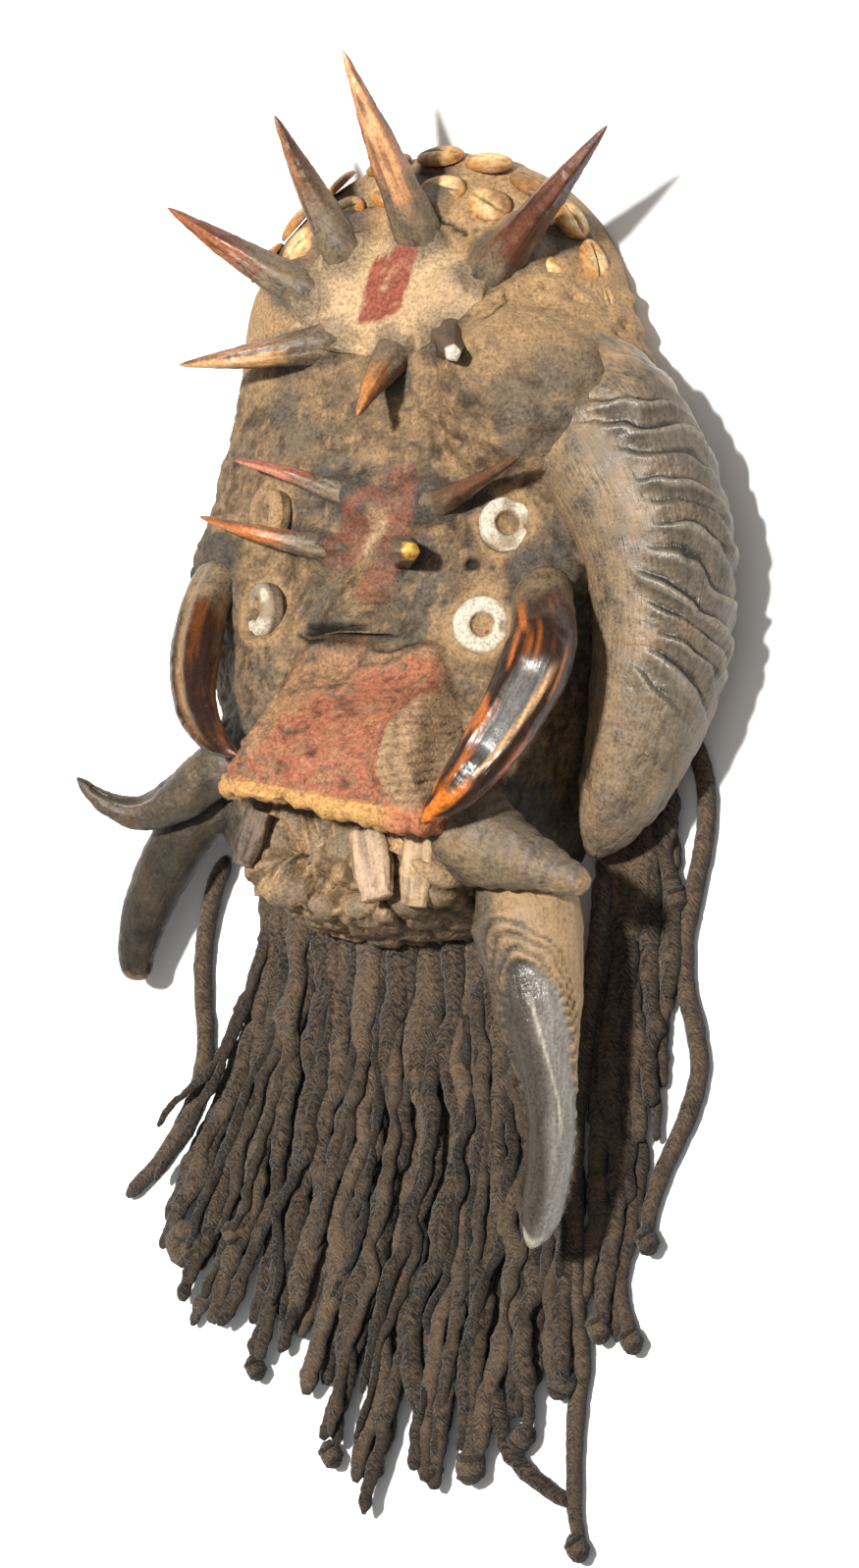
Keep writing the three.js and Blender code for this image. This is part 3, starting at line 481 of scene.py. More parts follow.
# Shared finishes
def dusty_crust():
    """Grit, pores and settled dust for clay, wood crust, chalk and shell."""
    inputs = [
        ("Colour", "NodeSocketColor", None), ("Place", "NodeSocketVector", None),
        ("Dust", "NodeSocketFloat", 0.3), ("Dust colour", "NodeSocketColor", None),
        ("Grit size", "NodeSocketFloat", 1.0),
    ]
    outputs = [("Colour", "NodeSocketColor"), ("Roughness", "NodeSocketFloat"), ("Height", "NodeSocketFloat")]
    tree, nodes, given, result = open_group("Dusty crust", inputs, outputs)
    fine = nodes.math("DIVIDE", 620.0, given["Grit size"])
    grit = nodes.noise(given["Place"], fine, 5.0, Roughness=0.65)
    wide = nodes.math("DIVIDE", 90.0, given["Grit size"])
    cloud = nodes.noise(given["Place"], wide, 4.0)
    coarse = nodes.math("DIVIDE", 300.0, given["Grit size"])
    pores = nodes.add("ShaderNodeTexVoronoi", {"Vector": given["Place"], "Scale": coarse, "Randomness": 1.0})
    pore = nodes.span(pores, 0.0, 0.25, 1.0, 0.0)
    patches = nodes.span(nodes.math("ADD", cloud, grit), 0.7, 1.3, 0.1, 2.1)
    settled = nodes.math("MULTIPLY", given["Dust"], patches, clamp=True)
    shade = nodes.span(grit, 0.3, 0.72, 0.42, 1.55)
    speckled = nodes.scaled(given["Colour"], shade)
    dusted = nodes.blend(settled, speckled, given["Dust colour"])
    dark = nodes.scaled(dusted, 0.55)
    pore_share = nodes.math("MULTIPLY", pore, 0.45)
    tree.links.new(nodes.blend(pore_share, dusted, dark), result.inputs["Colour"])
    tree.links.new(nodes.span(settled, 0.0, 1.0, 0.62, 0.95), result.inputs["Roughness"])
    tree.links.new(nodes.math("MULTIPLY_ADD", pore, -0.45, grit), result.inputs["Height"])
    return tree


def streaked_horn():
    """Growth streaks, scratches and dust for horns, spikes, tusks and teeth; they run along the piece."""
    inputs = [
        ("Colour", "NodeSocketColor", None), ("Lay", "NodeSocketVector", None),
        ("Dust", "NodeSocketFloat", 0.2), ("Dust colour", "NodeSocketColor", None),
        ("Streaks", "NodeSocketFloat", 0.5),
    ]
    outputs = [("Colour", "NodeSocketColor"), ("Roughness", "NodeSocketFloat"), ("Height", "NodeSocketFloat")]
    tree, nodes, given, result = open_group("Streaked horn", inputs, outputs)
    drawn = nodes.stretched(given["Lay"], (1.0, 1.0, 0.07))
    streak = nodes.noise(drawn, 520.0, 5.0, Roughness=0.6)
    grit = nodes.noise(given["Lay"], 700.0, 4.0)
    cloud = nodes.noise(given["Lay"], 110.0, 3.0)
    depth = nodes.math("MULTIPLY", given["Streaks"], 1.5)
    swing = nodes.math("MULTIPLY", nodes.math("SUBTRACT", streak, 0.5), depth)
    shade = nodes.math("ADD", nodes.math("MULTIPLY", swing, 1.6), nodes.span(grit, 0.3, 0.7, 0.7, 1.3))
    streaked = nodes.scaled(given["Colour"], shade)
    patches = nodes.span(nodes.math("ADD", cloud, grit), 0.75, 1.25, 0.1, 2.0)
    settled = nodes.math("MULTIPLY", given["Dust"], patches, clamp=True)
    tree.links.new(nodes.blend(settled, streaked, given["Dust colour"]), result.inputs["Colour"])
    tree.links.new(nodes.span(settled, 0.0, 0.8, 0.0, 1.0), result.inputs["Roughness"])
    height = nodes.math("MULTIPLY_ADD", swing, 1.2, nodes.math("MULTIPLY", grit, 0.35))
    tree.links.new(height, result.inputs["Height"])
    return tree


def matted_fibre():
    """Fine hairs in worn chevrons across a strand, with dust in patches; painted shade darkens its sides and
    painted light lifts its top, by how far the surface faces up.
    """
    inputs = [
        ("Lay", "NodeSocketVector", None), ("Shade", "NodeSocketFloat", 0.5),
        ("Dark", "NodeSocketColor", None), ("Pale", "NodeSocketColor", None),
    ]
    outputs = [("Colour", "NodeSocketColor"), ("Height", "NodeSocketFloat")]
    tree, nodes, given, result = open_group("Matted fibre", inputs, outputs)
    parts = nodes.add("ShaderNodeSeparateXYZ", {0: given["Lay"]})
    across, facing, along = parts.node.outputs
    cloud = nodes.noise(given["Lay"], 140.0, 4.0)
    swirl = nodes.noise(given["Lay"], 420.0, 2.0)
    slant = nodes.math("MULTIPLY_ADD", nodes.math("ABSOLUTE", across), -0.9, along)
    phase = nodes.math("MULTIPLY_ADD", slant, 2 * math.pi / 0.0034, nodes.math("MULTIPLY", swirl, 16.0))
    chevron = nodes.math("SINE", phase)
    bent = nodes.add("ShaderNodeCombineXYZ", {
        "X": across, "Y": facing, "Z": nodes.math("MULTIPLY", slant, 0.9)})
    hairs = nodes.noise(nodes.stretched(bent, (0.35, 0.35, 1.0)), 1300.0, 3.0, Roughness=0.7)
    worn = nodes.span(cloud, 0.42, 0.6, 1.0, 0.1)
    braid = nodes.math("MULTIPLY", chevron, worn)
    lighter = nodes.span(hairs, 0.32, 0.7, -0.45, 0.5)
    share = nodes.math("ADD", lighter, nodes.span(cloud, 0.35, 0.65, -0.08, 0.12))
    share = nodes.math("MULTIPLY_ADD", braid, 0.1, share)
    share = nodes.math("ADD", share, given["Shade"], clamp=True)
    tint = nodes.blend(share, given["Dark"], given["Pale"])
    # Painted shade and light: darker where the surface turns away from facing up, a little lighter on top.
    lit = nodes.span(facing, 0.0004, 0.0042, 0.04, 1.15)
    tree.links.new(nodes.scaled(tint, lit), result.inputs["Colour"])
    height = nodes.math("MULTIPLY_ADD", braid, 0.3, nodes.math("MULTIPLY_ADD", cloud, 0.6, hairs))
    tree.links.new(height, result.inputs["Height"])
    return tree


def shared(name, maker):
    return bpy.data.node_groups.get(name) or maker()


def use_group(nodes, tree, inputs):
    node = nodes.tree.nodes.new("ShaderNodeGroup")
    node.node_tree = tree
    for key, value in inputs.items():
        if isinstance(value, bpy.types.NodeSocket):
            nodes.tree.links.new(value, node.inputs[key])
        else:
            node.inputs[key].default_value = value
    return node.outputs


def attribute(nodes, name, output="Fac"):
    return nodes.add("ShaderNodeAttribute", output=output, attribute_type="GEOMETRY", attribute_name=name)


def finish_material(name, make, **shader):
    """A material whose make function returns what feeds the Principled shader."""
    material = bpy.data.materials.new(name)
    material.use_nodes = True
    tree = material.node_tree
    principled = tree.nodes["Principled BSDF"]
    for label, value in shader.items():
        principled.inputs[label.replace("_", " ")].default_value = value
    height, depth, feeds = make(Nodes(tree))
    if height is not None:
        bump = tree.nodes.new("ShaderNodeBump")
        bump.inputs["Distance"].default_value = depth * MM
        bump.inputs["Strength"].default_value = 1.0
        tree.links.new(height, bump.inputs["Height"])
        tree.links.new(bump.outputs["Normal"], principled.inputs["Normal"])
    for label, socket in feeds.items():
        tree.links.new(socket, principled.inputs[label])
    return material


def crust_finish(name, grit_size, depth, look, **shader):
    def make(nodes):
        place = nodes.add("ShaderNodeTexCoord", output="Object")
        given = {
            "Colour": attribute(nodes, "paint", "Color"), "Place": place, "Grit size": grit_size,
            "Dust": attribute(nodes, "dust"), "Dust colour": (*look.dust, 1),
        }
        made = use_group(nodes, shared("Dusty crust", dusty_crust), given)
        return made["Height"], depth, {"Base Color": made["Colour"], "Roughness": made["Roughness"]}
    return finish_material(name, make, **shader)


def horn_finish(name, streaks, depth, look, polished, dusty, **shader):
    """Roughness runs from polished, where nothing has settled, to dusty."""
    def make(nodes):
        given = {
            "Colour": attribute(nodes, "paint", "Color"), "Lay": attribute(nodes, "lay", "Vector"),
            "Dust": attribute(nodes, "dust"), "Dust colour": (*look.dust, 1), "Streaks": streaks,
        }
        made = use_group(nodes, shared("Streaked horn", streaked_horn), given)
        roughness = nodes.span(made["Roughness"], 0.0, 1.0, polished, dusty)
        gloss = nodes.span(attribute(nodes, "polish"), 0.0, 1.0, 1.0, 0.5)
        roughness = nodes.math("MULTIPLY", roughness, gloss)
        return made["Height"], depth, {"Base Color": made["Colour"], "Roughness": roughness}
    return finish_material(name, make, **shader)


def fibre_finish(name, look):
    def make(nodes):
        given = {
            "Lay": attribute(nodes, "lay", "Vector"), "Shade": attribute(nodes, "shade"),
            "Dark": (*look.fibre_dark, 1), "Pale": (*look.fibre_pale, 1),
        }
        made = use_group(nodes, shared("Matted fibre", matted_fibre), given)
        return made["Height"], 1.0, {"Base Color": made["Colour"]}
    return finish_material(name, make, Roughness=0.92, Sheen_Weight=0.15, Specular_IOR_Level=0.25)


# Meshes
def keep_values(mesh, values):
    """Keeps values on a mesh's points: paint as a colour, rows of three as vectors."""
    for label, data in values.items():
        data = np.asarray(data, dtype=float)
        if label == "paint":
            layer = mesh.attributes.new(label, "FLOAT_COLOR", "POINT")
            data = np.concatenate([data, np.ones((len(data), 1))], axis=1)
            layer.data.foreach_set("color", data.ravel())
        elif data.ndim == 2:
            layer = mesh.attributes.new(label, "FLOAT_VECTOR", "POINT")
            layer.data.foreach_set("vector", data.ravel())
        else:
            layer = mesh.attributes.new(label, "FLOAT", "POINT")
            layer.data.foreach_set("value", data)


def make_object(name, points, faces, material, values=None):
    """A mesh object from points in the drawing and faces, with values kept as attributes on its points."""
    mesh = bpy.data.meshes.new(name)
    mesh.from_pydata(placed(points).tolist(), [], faces)
    keep_values(mesh, values or {})
    if material:
        mesh.materials.append(material)
    made = bpy.data.objects.new(name, mesh)
    bpy.context.scene.collection.objects.link(made)
    return made


def close_and_smooth(made):
    """Merges doubles, turns the faces outwards and shades them smooth."""
    mesh = made.data
    shape = bmesh.new()
    shape.from_mesh(mesh)
    bmesh.ops.remove_doubles(shape, verts=shape.verts, dist=2e-6)
    bmesh.ops.recalc_face_normals(shape, faces=shape.faces)
    shape.to_mesh(mesh)
    shape.free()
    mesh.shade_smooth()
    return made


def hand_over(made, slot, *nodes):
    """The piece moves with the mask and stands for its CAD nodes, if it has any, which are hidden; the slot
    is not used.
    """
    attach(made, "root")
    if nodes:
        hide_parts(*nodes)


def grid_faces(rows, columns, start=0, wrap=False, flip=False):
    faces = []
    for row in range(rows - 1):
        for column in range(columns if wrap else columns - 1):
            following = (column + 1) % columns
            a = start + row * columns + column
            b = start + row * columns + following
            face = (a, b, b + columns, a + columns)
            faces.append(face[::-1] if flip else face)
    return faces


def grid_normals(grid):
    down = np.gradient(grid, axis=0)
    across = np.gradient(grid, axis=1)
    return unit(np.cross(across, down))


def tuck(points, cover=7):
    """Lifts what lies deep inside the head into its wall, so that nothing shows in the hollow."""
    x, y, z = points[:, 0], points[:, 1], points[:, 2]
    inside = np.abs(x - midline(y)) < half_width(y) - 3
    lowest = head_height(x, y) - cover
    points[:, 2] = np.where(inside & (z < lowest), lowest, z)
    return points


class Sweep:
    """A tapered body along a smooth line. `share` runs from root to tip and `angle` round the line,
    where 0 is to the side of the line and a quarter turn is towards the viewer."""

    def __init__(self, path, stations, rings=90, sides=40, blunt=False):
        self.rings, self.sides = rings, sides
        dense = smooth_line(path, 0.5)
        lengths = np.concatenate([[0], np.cumsum(np.linalg.norm(np.diff(dense, axis=0), axis=1))])
        self.length = lengths[-1]
        shares = np.linspace(0, 1, rings)
        shares = mix(shares, np.sin(shares * np.pi / 2), 0.5)
        centres = np.stack([np.interp(shares * self.length, lengths, dense[:, k]) for k in range(3)], axis=1)
        forward = unit(np.gradient(centres, axis=0))
        side = unit(np.cross(forward, (0, 0, 1.0)))
        up = unit(np.cross(side, forward))
        table = np.array([(station[0], station[1], station[-1]) for station in stations])
        fine = np.linspace(-0.1, 1.1, 241)
        blur = np.hanning(11) / np.hanning(11).sum()
        rounding = 0.025 if blunt else 0.06
        tip = np.sqrt(1 - np.clip((shares - (1 - rounding)) / rounding, 0, 1) ** 2)
        radii = []
        for column in (1, 2):
            smoothed = np.convolve(np.interp(fine, table[:, 0], table[:, column]), blur, mode="same")
            radii.append(np.interp(shares, fine, smoothed) * np.maximum(tip, 0.02))
        self.share = np.repeat(shares[:, None], sides, axis=1)
        turn = np.arange(sides) / sides * 2 * np.pi
        self.angle = np.repeat(turn[None, :], rings, axis=0)
        to_side = np.cos(self.angle)[..., None] * side[:, None, :]
        to_front = np.sin(self.angle)[..., None] * up[:, None, :]
        self.out = to_side + to_front
        self.wide, self.deep = radii[0][:, None], radii[1][:, None]
        self.skin = centres[:, None, :] + to_side * self.wide[..., None] + to_front * self.deep[..., None]
        radius = (self.wide + self.deep) / 2
        self.lay = np.stack([np.cos(self.angle) * radius, np.sin(self.angle) * radius,
                             self.share * self.length], axis=-1)
        self.fade = np.clip(np.minimum(self.wide, self.deep) / 5, 0, 1) * np.ones_like(self.angle)

    def push(self, distance):
        """Moves the skin outwards, less where the piece is thin."""
        self.skin = self.skin + self.out * (distance * self.fade)[..., None]
        return self

    def build(self, name, material, paint, dust, tucked=True, polish=None):
        rings, sides = self.rings, self.sides
        points = self.skin.reshape(-1, 3)
        if tucked:
            points = tuck(points.copy())
        root = points[:sides].mean(axis=0)
        tip = points[-sides:].mean(axis=0)
        points = np.vstack([points, root, tip])
        faces = grid_faces(rings, sides, wrap=True)
        for corner in range(sides):
            following = (corner + 1) % sides
            faces.append((rings * sides, following, corner))
            last = (rings - 1) * sides
            faces.append((rings * sides + 1, last + corner, last + following))

        def with_ends(data):
            flat = data.reshape(rings * sides, *data.shape[2:])
            return np.concatenate([flat, flat[:1], flat[-1:]])
        values = {"paint": with_ends(paint), "dust": with_ends(dust), "lay": with_ends(self.lay * MM)}
        if polish is not None:
            values["polish"] = with_ends(polish)
        made = make_object(name, points, faces, material, values)
        return close_and_smooth(made)


def tinted(*layers):
    """Colours laid over each other: a ground, then pairs of a colour and the share that it covers."""
    ground = np.asarray(layers[0], dtype=float)
    for tint, share in layers[1:]:
        ground = ground * (1 - share[..., None]) + np.asarray(tint) * share[..., None]
    return ground


# Sizes and colours that a user would change
def colour_setting(name, description, *rgb):
    return bpy.props.FloatVectorProperty(
        name=name, description=description, default=tuple(colour(*rgb)),
        subtype="COLOR", size=3, min=0, max=1)


class MASK_PG_look(bpy.types.PropertyGroup):
    """Colours of the mask."""
    dust: colour_setting("Dust", "Dry clay dust on every piece", 176, 146, 108)
    wood: colour_setting("Wood", "Grimy crust of the face", 112, 92, 70)
    grey: colour_setting("Grey", "Worn grey patches of the crust", 92, 86, 78)
    crown: colour_setting("Crown", "Sandy clay of the crown", 184, 148, 106)
    boss: colour_setting("Boss", "Pale clay of the forehead", 216, 182, 140)
    red: colour_setting("Red", "Red earth on the brow, bridge and snout", 168, 84, 66)
    lip: colour_setting("Lip", "Ochre of the lip", 214, 162, 98)
    # Besides dirt, this dark colour is painted shade in hollows, creases, gaps and on undersides.
    grime_and_shade: colour_setting("Grime", "Dark grime in the hollows", 40, 33, 27)
    horn: colour_setting("Dark horn", "Skin of the dark horns", 92, 83, 72)
    ram_horn: colour_setting("Ram horn", "Skin of the ram horn", 108, 99, 87)
    tusk_dark: colour_setting("Tusk root", "Dark root of the tusks", 48, 28, 18)
    tusk_amber: colour_setting("Tusk amber", "Amber streaks and tips of the tusks", 190, 104, 34)
    spike: colour_setting("Spike", "Dusty base of the spikes", 104, 90, 74)
    chalk: colour_setting("Chalk", "Eye rings", 226, 216, 196)
    shell_pale: colour_setting("Shell", "Cream top of the cowries", 240, 206, 146)
    shell_amber: colour_setting("Shell sides", "Amber sides of the cowries", 196, 130, 58)
    tooth: colour_setting("Tooth", "Stained wood of the teeth", 190, 152, 114)
    fibre_dark: colour_setting("Dark fibre", "Shaded hairs of the beard", 21, 17, 13)
    fibre_pale: colour_setting("Pale fibre", "Dusty hairs of the beard", 126, 104, 82)


# The picture that the camera matches: its rows, and the height of one on the face
PICTURE_ROWS = 1598
ROW_HEIGHT = 0.435


class MASK_PG_sizes(bpy.types.PropertyGroup):
    """Sizes of the finish and of the stage."""
    relief: bpy.props.FloatProperty(
        name="Relief", description="Strength of the fine relief on the head", default=1, min=0, max=2,
        subtype="FACTOR")
    strand_radius: bpy.props.FloatProperty(
        name="Strand radius", description="Half the width of a beard strand", default=4.1 * MM, unit="LENGTH")
    strand_flatness: bpy.props.FloatProperty(
        name="Strand flatness", description="How thick a beard strand is for its width; 1 is round",
        default=0.85, min=0.4, max=1, subtype="FACTOR")
    cowrie_length: bpy.props.FloatProperty(
        name="Cowrie length", description="Length of one cowrie", default=23 * MM, unit="LENGTH")
    camera_distance: bpy.props.FloatProperty(
        name="Camera distance", description="From the camera to the middle of the view", default=1.48,
        unit="LENGTH")
    camera_tilt: bpy.props.FloatProperty(
        name="Camera tilt", description="How far the camera leans to the mask's left side",
        default=math.radians(24), subtype="ANGLE", unit="ROTATION")
    view_height: bpy.props.FloatProperty(
        name="View height", description="Height of the picture at the middle of the view",
        default=PICTURE_ROWS * ROW_HEIGHT * MM, unit="LENGTH")
    key_power: bpy.props.FloatProperty(
        name="Key light", description="Power of the main light in watts", default=80, min=0)
    fill_strength: bpy.props.FloatProperty(
        name="Fill light", description="Strength of the even light round the stage", default=0.2, min=0)


# Operators. The settings say how a colour looks in the stage's light, and PAINT is how deep it is painted
PAINT = 0.77
# Linear colours of small patches, as deep as they are painted
BARE_HORN = np.array((0.055, 0.045, 0.036))
# Painted light: the bare horn's paler side towards the light.
HORN_LIT_SIDE = np.array((0.23, 0.21, 0.19))
BROKEN_TIP = np.array((0.2, 0.12, 0.07))
TUSK_FACET = np.array((0.1, 0.094, 0.088))
TUSK_RIM = np.array((0.7, 0.4, 0.17))


class MaskPiece:
    """What every operator of the mask shares."""
    bl_options = {"REGISTER", "UNDO"}

    def execute(self, context):
        chosen = context.scene.mask_look
        colours = {name: np.array(getattr(chosen, name)) * PAINT for name in chosen.__annotations__}
        self.make(SimpleNamespace(**colours), context.scene.mask_sizes)
        return {"FINISHED"}


VIEW_CENTRE = (20.5, -104, 43.5)
SENSOR_HEIGHT = 24
# Lights: place from the middle of the view and width in metres, share of the key's power, and tint
LIGHTS = {
    "key_light": ((-0.1, 0.42, 2.1), 0.14, 1, (1.0, 0.965, 0.91)),
    "soft_light": ((0.5, 0.3, 2.4), 1.8, 0.12, (1.0, 0.99, 0.97)),
}
FLOOR_HALF = 4000
FLOOR_Z = -0.4


class MASK_OT_stage(MaskPiece, bpy.types.Operator):
    """Sets the camera, the lights and the pale floor"""
    bl_idname = "mask.stage"
    bl_label = "Stage"

    def make(self, look, sizes):
        scene = bpy.context.scene
        scene.view_settings.view_transform = "Standard"
        centre = placed(VIEW_CENTRE)
        self.camera(scene, centre, sizes)
        for name, (offset, size, share, tint) in LIGHTS.items():
            self.light(name, centre, offset, size, sizes.key_power * share, tint)
        world = bpy.data.worlds.new("studio_light")
        world.use_nodes = True
        background = world.node_tree.nodes["Background"]
        background.inputs["Color"].default_value = (1.0, 1.0, 1.0, 1.0)
        background.inputs["Strength"].default_value = sizes.fill_strength
        scene.world = world
        self.floor()

    def camera(self, scene, centre, sizes):
        tilt = sizes.camera_tilt
        lens = bpy.data.cameras.new("camera")
        lens.sensor_fit = "VERTICAL"
        lens.sensor_height = SENSOR_HEIGHT
        lens.lens = SENSOR_HEIGHT * sizes.camera_distance / sizes.view_height
        lens.clip_start = 0.01
        camera = bpy.data.objects.new("camera", lens)
        offset = np.array([math.sin(tilt), 0, math.cos(tilt)]) * sizes.camera_distance
        camera.location = centre + offset
        camera.rotation_euler = (0, tilt, 0)
        scene.collection.objects.link(camera)
        scene.camera = camera

    def light(self, name, centre, offset, size, power, tint):
        lamp = bpy.data.lights.new(name, "AREA")
        lamp.size = size
        lamp.energy = power
        lamp.color = tint
        made = bpy.data.objects.new(name, lamp)
        made.location = centre + np.array(offset)
        made.rotation_euler = Vector(-np.array(offset)).to_track_quat("-Z", "Y").to_euler()
        bpy.context.scene.collection.objects.link(made)

    def floor(self):
        def make(nodes):
            place = nodes.add("ShaderNodeTexCoord", output="Object")
            cloud = nodes.add("ShaderNodeTexNoise", {"Vector": place, "Scale": 2.0, "Detail": 2.0})
            tint = nodes.blend(cloud, (0.93, 0.93, 0.93), (0.96, 0.96, 0.96))
            return None, 0, {"Base Color": tint}
        corners = [(x * FLOOR_HALF, y * FLOOR_HALF, FLOOR_Z) for x, y in ((-1, -1), (1, -1), (1, 1), (-1, 1))]
        paper = finish_material("floor_paper", make, Roughness=0.9)
        make_object("floor", corners, [(0, 1, 2, 3)], paper)


# Fibre strands follow a line, flattened where they lie in the mass
STRAND_STEP = 2.0
# Height of a strand's middle where it rests on the floor
STRAND_REST = 4.4


def strand_tree():
    """Turns drawn lines into matted strands, with lumps and the attributes of their finish."""
    tree = bpy.data.node_groups.get("Fibre strand")
    if tree:
        return tree
    inputs = [
        ("Lines", "NodeSocketGeometry", None), ("Flatness", "NodeSocketFloat", 0.8),
        ("Lump height", "NodeSocketFloat", 0.001), ("Lump size", "NodeSocketFloat", 0.011),
        ("Seed", "NodeSocketFloat", 3.0), ("Corners", "NodeSocketInt", 14),
        ("Fibre", "NodeSocketMaterial", None),
    ]
    tree, nodes, given, result = open_group(
        "Fibre strand", inputs, [("Strands", "NodeSocketGeometry")], "GeometryNodeTree")
    tree.is_modifier = True
    curve = nodes.add("GeometryNodeMeshToCurve", {"Mesh": given["Lines"]})
    girth = nodes.kept("girth")
    along = nodes.add("GeometryNodeSplineParameter", output="Length")
    curve = nodes.add("GeometryNodeSetCurveNormal", {"Curve": curve}, mode="Z_UP")
    curve = nodes.keep(curve, "along", along)
    ring = nodes.add("GeometryNodeCurvePrimitiveCircle", {"Resolution": given["Corners"], "Radius": 1.0})
    corner = nodes.math("MULTIPLY", nodes.add("GeometryNodeSplineParameter", output="Factor"), 2 * math.pi)
    thin = nodes.add("ShaderNodeCombineXYZ", {"X": nodes.math("DIVIDE", 1.0, given["Flatness"]),
                                              "Y": given["Flatness"], "Z": 1.0})
    oval = nodes.stretched(nodes.add("GeometryNodeInputPosition"), thin)
    ring = nodes.keep(ring, "corner", corner)
    ring = nodes.add("GeometryNodeSetPosition", {"Geometry": ring, "Position": oval})
    body = nodes.add("GeometryNodeCurveToMesh", {
        "Curve": curve, "Profile Curve": ring, "Scale": girth, "Fill Caps": True})
    girth_kept = nodes.kept("girth")
    # The normal's upward part, kept in lay, is what the fibre finish paints shade by, down a strand's sides.
    upwards = nodes.add("ShaderNodeSeparateXYZ", {0: nodes.add("GeometryNodeInputNormal")}, output=2)
    lay = nodes.add("ShaderNodeCombineXYZ", {
        "X": nodes.math("MULTIPLY", nodes.math("COSINE", nodes.kept("corner")), girth_kept),
        "Y": nodes.math("MULTIPLY", upwards, girth_kept),
        "Z": nodes.kept("along"),
    })
    body = nodes.keep(body, "lay", lay, "FLOAT_VECTOR")
    scale = nodes.math("DIVIDE", 1.0, given["Lump size"])
    lumps = nodes.add("ShaderNodeTexNoise", {
        "W": given["Seed"], "Scale": scale, "Detail": 4.0, "Roughness": 0.72}, noise_dimensions="4D")
    reach = nodes.math("MULTIPLY", given["Lump height"], 2.0)
    lift = nodes.math("MULTIPLY", nodes.math("SUBTRACT", lumps, 0.5), reach)
    outwards = nodes.scaled(nodes.add("GeometryNodeInputNormal"), lift)
    body = nodes.add("GeometryNodeSetPosition", {"Geometry": body, "Offset": outwards})
    body = nodes.add("GeometryNodeSetShadeSmooth", {"Geometry": body})
    body = nodes.add("GeometryNodeRealizeInstances", {"Geometry": body})
    body = nodes.add("GeometryNodeSetMaterial", {"Geometry": body, "Material": given["Fibre"]})
    tree.links.new(body, result.inputs["Strands"])
    return tree


def run_tree(source, tree, **values):
    """Runs a tree on an object, with its inputs set by socket identifier, and leaves a plain mesh."""
    modifier = source.modifiers.new(tree.name, "NODES")
    modifier.node_group = tree
    for item in tree.interface.items_tree:
        label = item.name.replace(" ", "_").lower()
        if item.item_type == "SOCKET" and item.in_out == "INPUT" and label in values:
            modifier[item.identifier] = values[label]
    bpy.context.view_layer.update()
    graph = bpy.context.evaluated_depsgraph_get()
    mesh = bpy.data.meshes.new_from_object(source.evaluated_get(graph))
    source.modifiers.remove(modifier)
    spare = source.data
    source.data = mesh
    mesh.name = source.name
    bpy.data.meshes.remove(spare)
    if not len(mesh.polygons):
        raise RuntimeError(f"{tree.name} made nothing for {source.name}")
    return source


def line_object(name, strands):
    """An object of bare lines; each strand is its points with their girth and shade."""
    points = np.vstack([strand["points"] for strand in strands])
    mesh = bpy.data.meshes.new(name)
    edges = []
    start = 0
    for strand in strands:
        count = len(strand["points"])
        edges += [(start + index, start + index + 1) for index in range(count - 1)]
        start += count
    mesh.from_pydata(placed(points).tolist(), edges, [])
    for label in ("girth", "shade"):
        data = np.concatenate([strand[label] * np.ones(len(strand["points"])) for strand in strands])
        keep_values(mesh, {label: data})
    made = bpy.data.objects.new(name, mesh)
    bpy.context.scene.collection.objects.link(made)
    return made


def girth_along(count, radius, root=1.0, tip=0.85, rounded=4):
    """Half widths along a strand in metres, rounded off at both ends."""
    share = np.linspace(0, 1, count)
    girth = radius * mix(root, 1, smooth_step(0, 0.45, share)) * mix(1, tip, smooth_step(0.7, 1, share))
    from_end = np.minimum(np.arange(count), np.arange(count)[::-1])
    return girth * np.sqrt(1 - np.clip(1 - (from_end + 0.35) / rounded, 0, 1) ** 2)


def fibre(look):
    return bpy.data.materials.get("matted_fibre") or fibre_finish("matted_fibre", look)


def wound_lump(centre, size, turn):
    """A lump of fibre with a strand wound round it, lying flat and pointing along its turn."""
    way = np.array([math.cos(turn), math.sin(turn), 0])
    side = np.array([-math.sin(turn), math.cos(turn), 0])
    core = np.array(centre) + np.linspace(-0.55, 0.55, 12)[:, None] * size * way
    t = np.linspace(0, 1, 70)[:, None]
    bulge = 0.35 * size * np.sqrt(1 - (1.5 * t - 0.75) ** 2)
    wind = (np.array(centre) + (t - 0.5) * 0.8 * size * way
            + bulge * (np.cos(9 * t) * side + np.sin(9 * t) * np.array((0, 0, 1.0))))
    return core, wind


def knot_object(name, knots, look):
    lines = []
    for index, (centre, size, turn) in enumerate(knots):
        core, wind = wound_lump(centre, size, turn)
        shade = 0.4 + 0.12 * math.sin(index * 2.3)
        thick = girth_along(len(core), 0.43 * size * MM, 1, 1, 6)
        thin = girth_along(len(wind), 0.13 * size * MM)
        lines.append({"points": core, "girth": thick, "shade": shade})
        lines.append({"points": wind, "girth": thin, "shade": shade + 0.03})
    made = line_object(name, lines)
    return run_tree(made, strand_tree(), flatness=1.0, lump_height=0.0012, lump_size=0.007, seed=7.0,
                    fibre=fibre(look))


